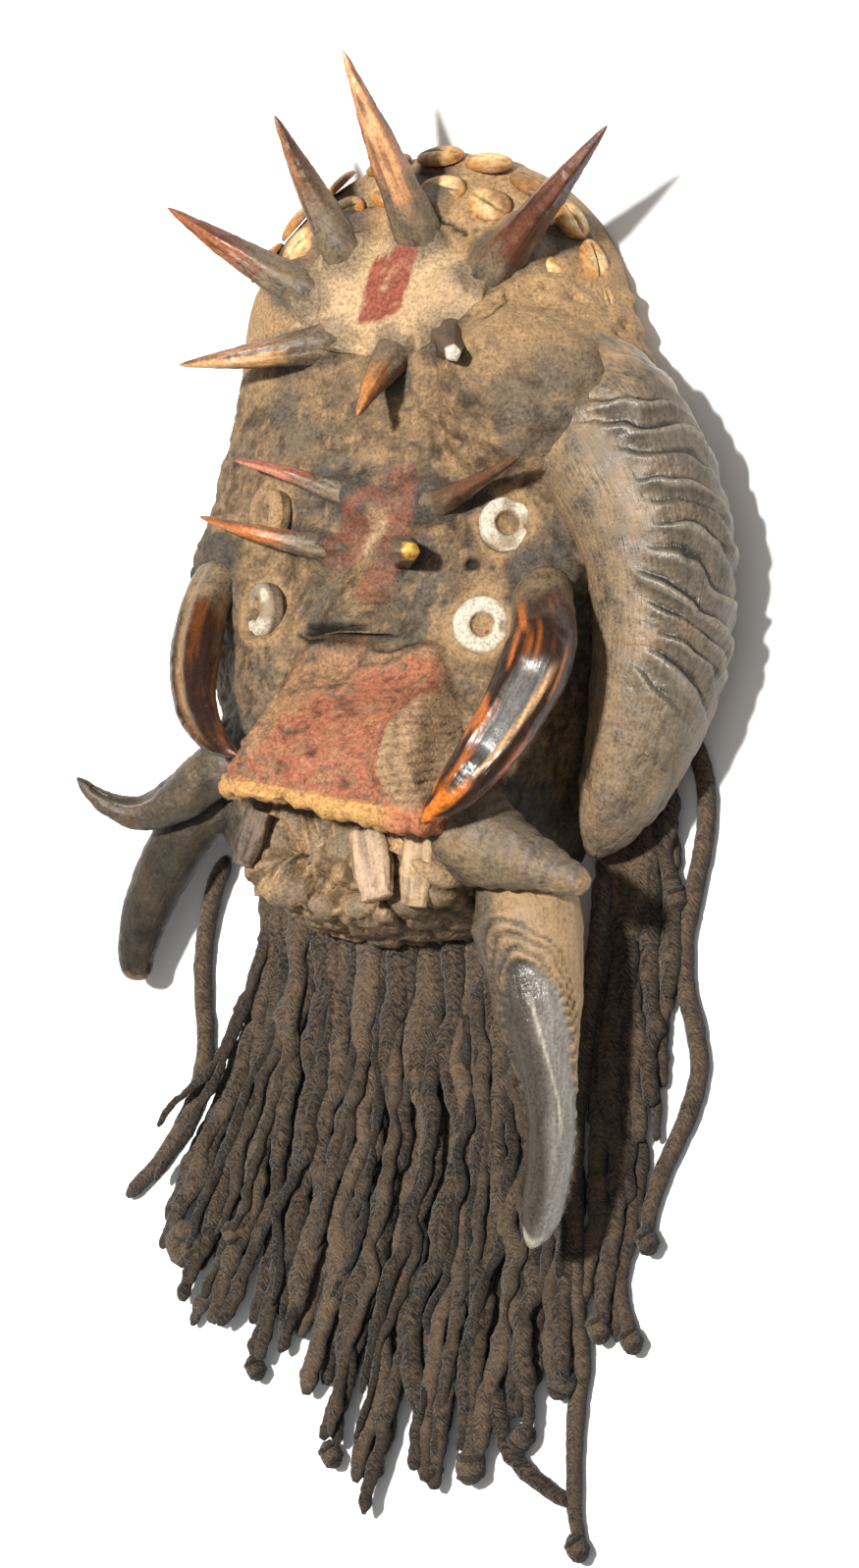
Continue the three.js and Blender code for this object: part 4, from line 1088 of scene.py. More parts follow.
class MASK_OT_free_strands(MaskPiece, bpy.types.Operator):
    """Makes the four strands that lie free of the beard, with a knot at the end of two"""
    bl_idname = "mask.free_strands"
    bl_label = "Free strands"
    KNOT_LIFT = 2.6
    KNOT_SIZE = 12
    KNOT_TURN = -1.2

    def make(self, look, sizes):
        for number, (name, strand) in enumerate(FREE_STRANDS.items()):
            route = smooth_line(strand["route"], STRAND_STEP)
            line = {
                "points": route, "girth": girth_along(len(route), sizes.strand_radius, 1, 0.8),
                "shade": 0.46,
            }
            made = line_object(f"fibre_{name}", [line])
            run_tree(made, strand_tree(), flatness=0.94, lump_height=0.0016, lump_size=0.009,
                     seed=2.0 + number, fibre=fibre(look))
            hand_over(made, "fibre", name)
            if strand["end"] == "knot":
                place = route[-3] + (0, 0, self.KNOT_LIFT)
                knot = knot_object(f"{name}_knot", [(place, self.KNOT_SIZE, self.KNOT_TURN)], look)
                hand_over(knot, "fibre")


# Clay round a root: its half width and how far it climbs along the piece
COLLARS = {"ram_horn": (31, 0.4), "cone_horn_right": (18, 0.34), "hook_horn_left": (15, 0.26),
           "blade_horn_left": (14, 0.26), "tusk_right": (13, 0.24), "tusk_left": (10, 0.24)}
SHOULDER = {"x": 70, "y": 60, "radius_x": 44, "radius_y": 44, "height": 7}
BRIDGE_RED = [[(12, 28), (-2, 16), (-14, -4)], [(14, 30), (14, 6), (4, -18)]]
MUZZLE_FOLD = [(-33, -92), (-27, -75), (-21, -66), (-9, -62), (3, -57), (16, -53), (26, -50)]
NOSTRIL = [(-31, -35.5), (-24, -36.5), (-15, -35.5), (-6, -35), (7, -36)]
NOSE_FOLDS = [[(-12, -39), (4, -40), (17, -40)], [(2, -44), (14, -46), (27, -41)],
              [(-36, -37), (-28, -41), (-16, -41)]]
CROWN_CRACKS = [
    [(12, 150), (18, 147), (28, 143), (38, 139), (44, 141)], [(-30, 150), (-22, 158), (-10, 157)],
    [(-52, 128), (-46, 118), (-44, 106)], [(60, 108), (64, 98), (60, 88)], [(-6, 168), (4, 172), (16, 169)],
]
JAW_CRACKS = [
    [(14, -150), (18, -160), (16, -170)], [(-20, -146), (-24, -156), (-20, -168)],
    [(32, -150), (40, -158), (52, -160)],
    [(-44, -146), (-52, -150), (-60, -146)],
]


class HeadSkin:
    """The carved face as a grid of points, with the masks that its relief and its colours share."""
    CHIN_ROWS, WALL_ROWS, SNOUT_ROWS, NOSE_ROWS, FACE_ROWS, CROWN_ROWS = 44, 20, 64, 12, 116, 66
    COLUMNS = 250

    def __init__(self):
        foot, lip = CHIN_CENTRE_Y, MUZZLE["lip_y"] + LIP_EDGE
        nose_root, nose_tip = NOSE["tip_y"] - NOSE["edge"], NOSE["tip_y"]
        quarter = np.linspace(0, math.pi / 2, self.CHIN_ROWS, endpoint=False)
        crown_quarter = np.linspace(0, math.pi / 2, self.CROWN_ROWS)
        self.full_y = np.concatenate([
            CHIN_CENTRE_Y - CHIN_ROUND * np.cos(quarter),
            np.linspace(foot, lip, self.WALL_ROWS, endpoint=False),
            np.linspace(lip, nose_root, self.SNOUT_ROWS, endpoint=False),
            np.linspace(nose_root, nose_tip, self.NOSE_ROWS, endpoint=False),
            np.linspace(nose_tip, CROWN_CENTRE_Y, self.FACE_ROWS, endpoint=False),
            CROWN_CENTRE_Y + CROWN_ROUND * np.sin(crown_quarter),
        ])
        self.grid = self.surface(np.linspace(-1, 1, self.COLUMNS), 0)
        self.flat = self.grid.copy()
        self.masks()

    def surface(self, even, inset):
        turn = mix(even, np.sign(even) * np.abs(even) ** 1.5, 0.4)[None, :]
        row = self.full_y[:, None]
        middle, half = (CHIN_Y + CROWN_Y) / 2, (CROWN_Y - CHIN_Y) / 2
        wall = inset * smooth_step(0, 0.35, end_rounding(row))
        width = np.maximum(0, half_width(row) - wall)
        height = np.maximum(0, base_height(row) - wall)
        across = np.sign(turn) * np.abs(np.sin(turn * math.pi / 2)) ** (2 / SIDE_SQUARENESS)
        upwards = np.maximum(0, np.cos(turn * math.pi / 2)) ** (2 / SIDE_SQUARENESS)
        x = midline(row) + width * across
        y = middle + (row - middle) * (half - inset) / half + 0 * x
        carved = 0
        if inset == 0:
            near_lip = 1 - smooth_step(0, LIP_SHEAR_REACH, np.abs(row - MUZZLE["lip_y"]))
            y = y - MUZZLE["slant"] * (x - midline(row)) * near_lip * upwards
            carved = carving(x, y) * carving_share(upwards, row)
            self.upwards, self.row = upwards, row
        return np.stack([x, y, np.maximum(0, height * upwards + carved)], axis=-1)

    def masks(self):
        x, y = self.grid[..., 0], self.grid[..., 1]
        warp = np.stack([soft_noise(self.grid, 9, 40), soft_noise(self.grid, 9, 50)], axis=-1)
        warp += 0.4 * np.stack([soft_noise(self.grid, 3, 60), soft_noise(self.grid, 3, 70)], axis=-1)
        self.x, self.y = x, y
        wx, wy = x + 2.4 * warp[..., 0], y + 2.4 * warp[..., 1]
        self.wx, self.wy = wx, wy
        centred = x - midline(y)
        self.rim = smooth_step(0.0, 0.3, self.upwards) * smooth_step(0, 0.3, end_rounding(self.row))
        self.boss = mound(wx, wy, 0, 112, 52, 25, 0.8)
        patch = np.maximum(np.abs(x - 5 - 0.2 * (y - 115)) * 1.15, np.abs(y - 115) * 0.85)
        self.boss_red = 1 - smooth_step(11.5, 13, patch + 1.4 * warp[..., 0])
        self.crown = smooth_step(64, 102, wy)
        down = np.clip((MUZZLE["root_y"] - y) / (MUZZLE["root_y"] - lip_line(centred)), 0, 1)
        half = mix(MUZZLE["root_half"], MUZZLE["lip_half"], down)
        side = 1 - smooth_step(-5, 4, np.abs(centred - MUZZLE["lean"] * down) - half)
        above_lip = smooth_step(-4, 0, y - lip_line(centred))
        self.snout = side * above_lip * (1 - smooth_step(MUZZLE["root_y"] - 3, MUZZLE["root_y"] + 3, y))
        fold_y = np.interp(wx, [p[0] for p in MUZZLE_FOLD], [p[1] for p in MUZZLE_FOLD])
        self.below_fold = self.snout * smooth_step(-2, 3, fold_y - wy)
        self.lip = side * (1 - smooth_step(2.5, 5.5, np.abs(y - lip_line(centred) - 2.5)))
        under_lip = lip_line(centred) - wy
        self.mouth = side * smooth_step(0, 3, under_lip) * (1 - smooth_step(8, 13, under_lip))
        self.jaw = smooth_step(7, 12, under_lip) * (1 - smooth_step(52, 64, np.abs(centred)))
        self.cheek = mound(x, y, 39, -90, 14.5, 28, 0.75)
        self.socket = mound(np.abs(centred), y, 52, -10, 34, 44, 0.3)
        red = np.minimum.reduce([line_distance(wx, wy, line)[0] for line in BRIDGE_RED])
        self.bridge_red = 1 - smooth_step(6.5, 8.5, red)
        self.bridge_sand = crease(wx, wy, [(8, 20), (4, 8), (-2, -8)], 6)
        self.cracks = np.maximum.reduce([crease(wx, wy, line, 1.5) for line in CROWN_CRACKS + JAW_CRACKS])
        nostril = crease(x, y, NOSTRIL, 2.6)
        self.nostril = np.maximum(nostril, crease(x, y, NOSTRIL[:3], 4.0))
        self.nose_folds = np.maximum.reduce([crease(x, y, line, 1.6) for line in NOSE_FOLDS])
        self.cheek_edge = crease(wx, wy, [(27, -60), (29, -74), (33, -92), (38, -108)], 2.4)
        self.pit = mound(x, y, 46, -8, 4.2, 3.6, 0.3)
        self.collars()

    def collars(self):
        """Clay worked up round each root: it climbs along the piece and thins out past it."""
        self.collar = np.zeros_like(self.x)
        self.ramp = np.zeros_like(self.x)
        ground = self.flat[..., 2]
        roots = [(spike["path"], spike["half"], spike.get("clay", 0.42)) for spike in SPIKES.values()]
        roots += [(HORNS[name]["path"], *collar) for name, collar in COLLARS.items()]
        for path, radius, reach in roots:
            line = smooth_line(path, 1)
            line = line[:max(3, int(len(line) * reach))]
            distance, share = line_distance(self.wx, self.wy, line[:, :2])
            axis = np.interp(share, np.linspace(0, 1, len(line)), line[:, 2])
            top, spread, fullness = (1.5, 1.2, 1.5) if radius < 12 else (1.0, 1.25, 2.2)
            climb = np.clip(axis + radius * mix(top, 0.2, share) - ground, 0, 20)
            reached = radius * (spread + 0.25 * soft_noise(self.flat, 5, 32))
            near = np.exp(-(distance / reached) ** fullness)
            self.ramp = np.maximum(self.ramp, climb * near * (1 - smooth_step(0.3, 1, share)))
            if radius < 20:
                self.collar = np.maximum(self.collar, 1 - smooth_step(radius * 0.8, radius * 1.6, distance))
        self.ring_bed = np.zeros_like(self.x)
        for ring in EYE_RINGS.values():
            cx, cy = ring["place"]
            facing = ring["facing"]
            distance = np.hypot((self.wx - cx) / max(0.6, facing[2]), self.wy - cy)
            self.ring_bed = np.maximum(self.ring_bed, 1 - smooth_step(0, 5, np.abs(distance - 14)))

    def relief(self):
        """Height of the fine relief over the plain carving."""
        p = self.flat
        rough = 1 - 0.6 * np.maximum(self.crown * 0.9, self.boss * 0.8)
        grain = 0.8 * rough_noise(p, 7, 5) + 0.5 * rough_noise(p, 2.4, 9, 2)
        grain = grain + 0.8 * (0.5 - crumb_noise(p, 4.5, 21))
        self.lumps = 1.5 * rough_noise(p, 26, 1) + self.ramp
        height = (grain + 0.8 * self.collar * soft_noise(p * (1, 1, 0.4), 4, 31)) * rough
        height += 1.7 * self.ring_bed * (1 + 0.4 * soft_noise(p, 4, 33))
        slanted = np.stack([self.x + 0.7 * self.y, 0.4 * (self.y - 0.7 * self.x), 0 * self.x], axis=-1)
        crust = 1.5 * (0.5 - crumb_noise(p, 4.5, 35)) + 0.9 * rough_noise(slanted, 7, 36)
        height += self.below_fold * crust + 0.5 * self.snout * rough_noise(slanted, 6, 47)
        height += 2.0 * np.exp(-(line_distance(self.wx, self.wy, MUZZLE_FOLD)[0] / 2.4) ** 2) * self.snout
        knobs = 0.75 + 0.85 * soft_noise(p, 6.5, 37) + 0.5 * soft_noise(p, 3, 38)
        height += 2.6 * self.lip * knobs
        self.wrinkle = np.sin((self.y + 0.12 * np.abs(self.x - 40) + 2.2 * soft_noise(p, 10, 39)) / 0.62)
        height += self.cheek * (1 + 0.5 * self.wrinkle)
        pads = crumb_noise(p * (0.7, 1.2, 0.5) + 1.5 * soft_noise(p, 7, 40)[..., None], 11, 41, edges=True)
        self.pad = self.jaw * smooth_step(0.06, 0.24, pads + 0.1 * soft_noise(p, 9, 42))
        height += 2.8 * self.pad - 1.4 * self.jaw
        bulge = np.exp(-((self.y + 138) / 14) ** 2) * (1 - smooth_step(38, 56, np.abs(self.x)))
        self.lumps += 15 * bulge + SHOULDER["height"] * mound_of(SHOULDER, self.x, self.y, 0.35)
        height -= 0.8 * self.cheek_edge
        height -= 4.5 * self.nostril + 1.8 * self.nose_folds + 1.5 * self.cracks + 2.6 * self.pit
        height += self.socket * rough_noise(p, 9, 45)
        return height * self.rim

    def undercut(self):
        """Draws the foot of the lip in under it, so that the lip overhangs the mouth."""
        wall = 1 - smooth_step(CHIN_CENTRE_Y, MUZZLE["lip_y"] + LIP_EDGE, self.row)
        near = 1 - smooth_step(0, 14, CHIN_CENTRE_Y - self.row)
        centred = self.x - midline(self.y)
        side = 1 - smooth_step(-14, 0, np.abs(centred) - MUZZLE["lip_half"])
        self.grid[..., 1] += 8 * wall * near * side * self.upwards

    def paint(self, look, height):
        """Base colour and dust of every point; the colour holds painted shade in the hollows, gaps, creases
        and mouth and on the turned-down sides.
        """
        p = self.flat
        cavity = smooth_step(-0.1, -1.5, height)
        crest = smooth_step(0.1, 1.6, height)
        cloud = rough_noise(p, 20, 81)
        fleck = rough_noise(p, 4.5, 85)
        speck = soft_noise(p, 1.8, 88)
        mixed = 0.6 * cloud + 0.6 * fleck + 0.35 * speck
        sides = 1 - smooth_step(0.35, 0.75, self.upwards)
        temple = smooth_step(30, 78, self.y) * (1 - self.crown)
        wood, grime_and_shade, sand, red = look.wood, look.grime_and_shade, look.crown, look.red
        gaps = np.maximum.reduce([self.nostril, 0.8 * self.pit, 0.7 * self.cracks, 0.7 * self.nose_folds])
        tint = tinted(
            wood,
            (sand * 0.8, 0.75 * smooth_step(-0.15, 0.55, mixed + 0.1 * self.socket + 0.1 * temple)),
            (look.grey * 0.9, 0.75 * smooth_step(0.05, 0.4, rough_noise(p, 24, 91) - 0.3 * self.crown)),
            (wood * 0.36, 0.8 * (1 - self.crown) * smooth_step(0.06, 0.4, rough_noise(p, 5, 93))),
            (sand * 1.1, 0.4 * (1 - self.crown) * smooth_step(0.2, 0.6, rough_noise(p * (1, 0.5, 1), 3, 94))),
            (sand, self.crown * smooth_step(-1.0, 0.2, mixed + 0.25)),
            (sand, 0.6 * self.ring_bed),
            (look.boss, self.boss * smooth_step(-0.8, 0.2, fleck + 0.5 * speck + 0.5)),
            (look.grey * 0.75, (0.85 - 0.15 * self.boss) * self.collar
             * smooth_step(-0.9, 0.15, 0.5 * mixed + 0.12)),
            (mix(red, wood, 0.2) * 0.95, self.boss_red * smooth_step(-0.8, -0.2, fleck + speck + 0.2)),
            (mix(red, wood, 0.5),
             0.75 * self.bridge_red * smooth_step(-0.6, 0.35, fleck + 0.5 * speck + 0.15)),
            (look.boss * 0.8, self.bridge_sand),
            (mix(sand, red, 0.3), 0.85 * self.snout * smooth_step(-0.7, 0.3, mixed + 0.1)),
            (mix(red, sand, 0.25), self.below_fold * smooth_step(-0.75, 0.35, fleck + speck + 0.1)),
            (mix(look.grey, sand, 0.5) * 1.6, 0.85 * self.cheek * smooth_step(-0.9, 0.1, mixed + 0.3)),
            # Painted shade in the valleys of the cheek's wrinkles.
            (wood * 0.6, 0.35 * self.cheek * smooth_step(0.2, 0.9, -self.wrinkle + 0.6 * speck)),
            (look.lip, self.lip * smooth_step(-0.8, 0.0, fleck + 0.2)),
            (red * 1.3, 0.8 * self.lip * smooth_step(24, 40, self.x)),
            (sand * 1.6, 0.9 * self.jaw * smooth_step(-0.9, 0.2, mixed + 0.4)),
            (look.grey * 1.3, 0.8 * self.pad * smooth_step(-0.7, 0.2, mixed + 0.2)),
            # Painted shade: darker in the mouth, under the lip.
            (wood * 0.5, 0.7 * self.mouth * smooth_step(-0.7, 0.3, mixed)),
            # Painted shade along the crease at the cheek's edge.
            (grime_and_shade * 0.7, 0.4 * self.cheek_edge),
            # Painted shade: darker on the sides, where the face turns down to the rim.
            (wood * 0.55, 0.35 * sides * (1 - self.crown)),
            # Dirt with painted shade in the hollows of the relief.
            (grime_and_shade, 0.8 * cavity * (1 - 0.5 * self.boss)),
            # Painted shade, near black, in the nostril, the pit, the cracks and the nose folds.
            (grime_and_shade * 0.3, gaps),
        )
        dust = 0.08 + 0.2 * crest + 0.12 * cloud + 0.1 * self.crown - 0.3 * cavity - 0.6 * self.mouth
        bare = [self.collar, self.snout, self.boss_red, self.cheek, self.bridge_red, self.pad]
        dust -= 0.2 * np.maximum.reduce(bare)
        return tint, np.clip(dust, 0, 1)


class MASK_OT_head(MaskPiece, bpy.types.Operator):
    """Makes the carved head with its crust, and the plain hollow behind it"""
    bl_idname = "mask.head"
    bl_label = "Head"
    HOLLOW_COLUMNS = 26

    def make(self, look, sizes):
        skin = HeadSkin()
        height = skin.relief() * sizes.relief
        lifted = height + skin.lumps * skin.rim
        skin.undercut()
        outer = skin.grid + grid_normals(skin.grid) * lifted[..., None]
        outer[..., 2] = np.maximum(outer[..., 2], 0)
        tint, dust = skin.paint(look, height)
        inner = skin.surface(np.linspace(-1, 1, self.HOLLOW_COLUMNS), WALL)
        adze = 0.8 * crumb_noise(inner * (1, 0.5, 1), 16, 91)[..., None]
        inner = inner + adze * np.minimum(1, inner[..., 2:] / 10) * (0, 0, 1)
        rows, columns, last = len(outer), skin.COLUMNS, self.HOLLOW_COLUMNS
        start = rows * columns
        faces = grid_faces(rows, columns) + grid_faces(rows, last, start, flip=True)
        for row in range(rows - 1):
            left, left_in = row * columns, start + row * last
            faces.append((left, left + columns, left_in + last, left_in))
            right, right_in = left + columns - 1, left_in + last - 1
            faces.append((right, right_in, right_in + last, right + columns))
        wood = np.ones((rows * last, 3)) * look.wood * 0.8
        wood *= (1 + 0.25 * rough_noise(inner.reshape(-1, 3) * (1, 0.15, 1), 5, 95))[:, None]
        points = np.vstack([outer.reshape(-1, 3), inner.reshape(-1, 3)])
        values = {
            "paint": np.vstack([tint.reshape(-1, 3), wood]),
            "dust": np.concatenate([dust.ravel(), np.full(rows * last, 0.12)]),
        }
        material = crust_finish("crust", 1.0, 0.7, look, Specular_IOR_Level=0.3)
        head = close_and_smooth(make_object("head_crust", points, faces, material, values))
        hand_over(head, "crust", "mask_shell")


class MASK_OT_ram_horn(MaskPiece, bpy.types.Operator):
    """Makes the big ribbed horn on the mask's left side"""
    bl_idname = "mask.ram_horn"
    bl_label = "Ram horn"
    RIB_SPACING = 11

    def make(self, look, sizes):
        body = Sweep(**HORNS["ram_horn"], rings=300, sides=110)
        p = body.skin
        waver = 5 * soft_noise(p, 26, 3) + 2.2 * soft_noise(p, 8, 4)
        phase = (body.share * body.length - 17 * body.angle + waver) / self.RIB_SPACING
        part = phase - np.floor(phase)
        rib_place = np.stack([np.floor(phase) * 7.3, 3 * np.cos(body.angle), 3 * np.sin(body.angle)], axis=-1)
        uneven = soft_noise(rib_place, 2, 5)
        facing = np.cos(body.angle - 2.75) + 0.35 * soft_noise(p, 18, 14) + 0.45 * uneven
        outer = smooth_step(0.3, 0.95, facing)
        ribbed = smooth_step(0.08, 0.2, body.share) * (1 - smooth_step(0.62, 0.76, body.share)) * outer
        rib = smooth_step(0, 0.2, part) * (1 - smooth_step(0.2, 0.85, part)) * (1 + 0.6 * uneven)
        groove = ribbed * (1 - smooth_step(0.0, 0.16, np.minimum(part, 1 - part)))
        drawn_out = body.lay * (1, 1, 0.05) + 0.6 * soft_noise(p, 20, 6)[..., None]
        creases = smooth_step(0.75, 1, 1 - np.abs(soft_noise(drawn_out, 6, 7)))
        smooth_end = smooth_step(0.6, 0.8, body.share)
        body.push(2.6 * (rib - 0.3) * ribbed + 0.5 * rough_noise(p, 6, 9) + 0.3 * rough_noise(p, 2.4, 10, 2)
                  - 0.6 * creases * smooth_end - 0.9 * groove)
        clay = 1 - smooth_step(0.12, 0.24, body.share + 0.08 * rough_noise(p, 12, 12))
        mixed = rough_noise(p, 14, 15) + 0.5 * rough_noise(p, 4, 16)
        tint = tinted(
            look.ram_horn,
            (look.ram_horn * 0.5, 0.8 * smooth_step(-0.2, 0.5, mixed)),
            (look.crown * 0.62, 0.7 * (1 - outer) * smooth_step(-0.5, 0.5, -mixed)),
            (look.ram_horn * 0.8, 0.7 * smooth_end * smooth_step(-0.5, 0.3, mixed)),
            # Painted highlight on the crests of the ribs.
            (look.ram_horn * 1.9, 0.7 * smooth_step(0.75, 1.1, rib) * ribbed),
            (look.crown * 0.95, 0.8 * clay * smooth_step(-0.5, 0.4, 0.1 - mixed)),
            # Dirt with painted shade in the grooves between the ribs and in the creases.
            (look.grime_and_shade * 0.8, np.clip(0.9 * groove + 0.6 * creases * smooth_end, 0, 1)),
        )
        dust = 0.08 + 0.12 * (1 - outer) + 0.1 * smooth_end + 0.1 * mixed - 0.3 * groove - 0.2 * rib * ribbed
        material = horn_finish("ram_horn", 0.5, 0.8, look, 0.3, 0.9)
        horn = body.build("horn_ram", material, tint, np.clip(dust, 0, 1))
        hand_over(horn, "ram_horn", "ram_horn")


class MASK_OT_dark_horns(MaskPiece, bpy.types.Operator):
    """Makes the four dark horns round the mouth"""
    bl_idname = "mask.dark_horns"
    bl_label = "Dark horns"

    def make(self, look, sizes):
        material = horn_finish("dark_horn", 0.5, 0.6, look, 0.46, 0.9)
        for name, maker in (("long_horn_right", self.long_horn), ("hook_horn_left", self.hook_horn),
                            ("blade_horn_left", self.blade_horn), ("cone_horn_right", self.cone_horn)):
            body, tint, dust, polish = maker(look)
            horn = body.build(f"horn_{name.split('_')[0]}", material, tint, np.clip(dust, 0, 1),
                              polish=polish)
            hand_over(horn, "horn", name)

    def ground(self, body, look, seed):
        return tinted(look.horn, (look.horn * 0.5, smooth_step(0, 0.5, rough_noise(body.skin, 10, seed))))

    def long_horn(self, look):
        body = Sweep(**HORNS["long_horn_right"], rings=260, sides=72)
        p = body.skin
        middle = np.interp(body.share, (0.16, 0.27, 0.45), (1.24, 1.62, 1.72))
        aside = (body.angle - middle + math.pi) % (2 * math.pi) - math.pi
        arch = body.share - 0.27 - 0.16 * aside ** 2 + 0.012 * soft_noise(p, 7, 5)
        sheath = (1 - smooth_step(0, 0.015, arch)) * (1 - smooth_step(0.56, 0.62, body.share))
        nested = np.cos(2 * math.pi * arch / 0.045) * smooth_step(-0.15, -0.12, arch) * (arch < 0)
        glint_angle = np.interp(body.share, (0.37, 0.48, 0.6, 0.69), (1.7, 1.94, 2.25, 2.34))
        glint = np.exp(-((body.angle - glint_angle) / 0.05) ** 2)
        glint = glint * smooth_step(0.33, 0.38, body.share) * (1 - smooth_step(0.66, 0.7, body.share))
        body.push(0.7 * nested + 1.7 * sheath - 0.4 + (0.3 + 0.4 * sheath) * rough_noise(p, 7, 4)
                  + 0.3 * sheath * rough_noise(p, 2.5, 6, 2))
        chipped = smooth_step(0.93, 0.97, body.share + 0.02 * soft_noise(p, 4, 8))
        sandy = sheath * smooth_step(-0.6, 0.2, -np.cos(body.angle) + 0.6 * soft_noise(p, 9, 9))
        lit = smooth_step(1.5, 2.3, body.angle + 0.3 * soft_noise(p, 14, 12))
        tint = tinted(
            self.ground(body, look, 3),
            (look.crown * 0.9, 0.8 * sandy),
            # Dirt with painted shade in the nested grooves.
            (look.grime_and_shade * 0.8, 0.9 * smooth_step(0.0, 0.7, -nested)),
            # Painted shadow in a line below the sheath's edge.
            (look.grime_and_shade * 0.6, 0.9 * np.exp(-((arch - 0.008) / 0.008) ** 2) * (body.share < 0.6)),
            (BARE_HORN, 0.85 * (1 - sheath)),
            # Painted light: the bare horn paler on its side towards the light.
            (HORN_LIT_SIDE, 0.85 * (1 - sheath) * lit),
            (look.chalk * 0.8, 0.85 * glint),
            (look.chalk * 0.75, 0.9 * chipped),
        )
        dust = 0.2 * sandy + 0.1 * sheath + 0.08 * sheath * rough_noise(p, 8, 11)
        return body, tint, dust, 1 - sheath

    def hook_horn(self, look):
        body = Sweep(**HORNS["hook_horn_left"], rings=200, sides=56)
        p = body.skin
        worn = np.exp(-((body.angle - 0.7) / 0.4) ** 2) * smooth_step(0.25, 0.5, body.share)
        glint = np.exp(-((body.angle - 1.15) / 0.05) ** 2)
        glint = glint * smooth_step(0.5, 0.56, body.share) * (body.share < 0.78)
        body.push(0.9 * rough_noise(p, 9, 21) + 0.4 * rough_noise(p, 2.6, 22, 2) - 1.3 * worn
                  * (body.share < 0.92))
        tint = tinted(
            self.ground(body, look, 23) * 0.6,
            (look.dust * 0.3, 0.45 * smooth_step(0.0, 0.6, rough_noise(p, 12, 24) + 0.2)),
            (look.grime_and_shade * 0.7, 0.7 * worn),
            (look.chalk * 0.7, 0.7 * glint),
        )
        return body, tint, 0.07 + 0.06 * rough_noise(p, 8, 25) - 0.15 * worn, 0.5 * worn

    def blade_horn(self, look):
        body = Sweep(**HORNS["blade_horn_left"], rings=160, sides=56, blunt=True)
        p = body.skin
        # The underside, painted near black as shadow.
        edge = smooth_step(2.5, 2.85, body.angle + 0.1 * soft_noise(p, 9, 37)) * (body.angle < 4.6)
        chipped = smooth_step(0.95, 0.99, body.share + 0.03 * soft_noise(p, 3, 31))
        body.push(0.5 * rough_noise(p, 10, 32) + 0.25 * rough_noise(p, 2.6, 33, 2) - 0.8 * chipped)
        tint = tinted(
            self.ground(body, look, 34) * 0.35,
            (look.dust * 0.16, 0.5 * smooth_step(-0.3, 0.6, rough_noise(p, 14, 35))),
            # Painted shadow on the underside.
            (look.grime_and_shade * 0.3, 0.92 * edge),
            (BROKEN_TIP, 0.8 * chipped),
        )
        return body, tint, 0.02 + 0.04 * rough_noise(p, 8, 36), 0 * edge

    def cone_horn(self, look):
        body = Sweep(**HORNS["cone_horn_right"], rings=150, sides=64, blunt=True)
        p = body.skin
        chipped = smooth_step(0.94, 0.99, body.share + 0.03 * soft_noise(p, 4, 41))
        rings = np.sin(body.share * 58 + 1.4 * np.cos(body.angle - 1.2) + 1.2 * soft_noise(p, 10, 42))
        body.push(0.9 * rough_noise(p, 9, 43) + 0.4 * rings * (body.share < 0.9)
                  + 0.35 * rough_noise(p, 2.8, 44, 2)
                  - 1.2 * chipped * (1 + soft_noise(p, 3, 45)))
        # A lighter side with more dust: settled dust, with painted light on that side.
        lit = smooth_step(-0.2, 0.7, np.cos(body.angle - 0.6))
        tint = tinted(
            self.ground(body, look, 46),
            (look.dust * 0.6, 0.6 * lit * smooth_step(-0.4, 0.4, rough_noise(p, 10, 47))),
            (look.crown * 0.7, 0.7 * chipped),
        )
        return body, tint, 0.12 + 0.1 * lit + 0.1 * rough_noise(p, 6, 48), 0.5 * chipped


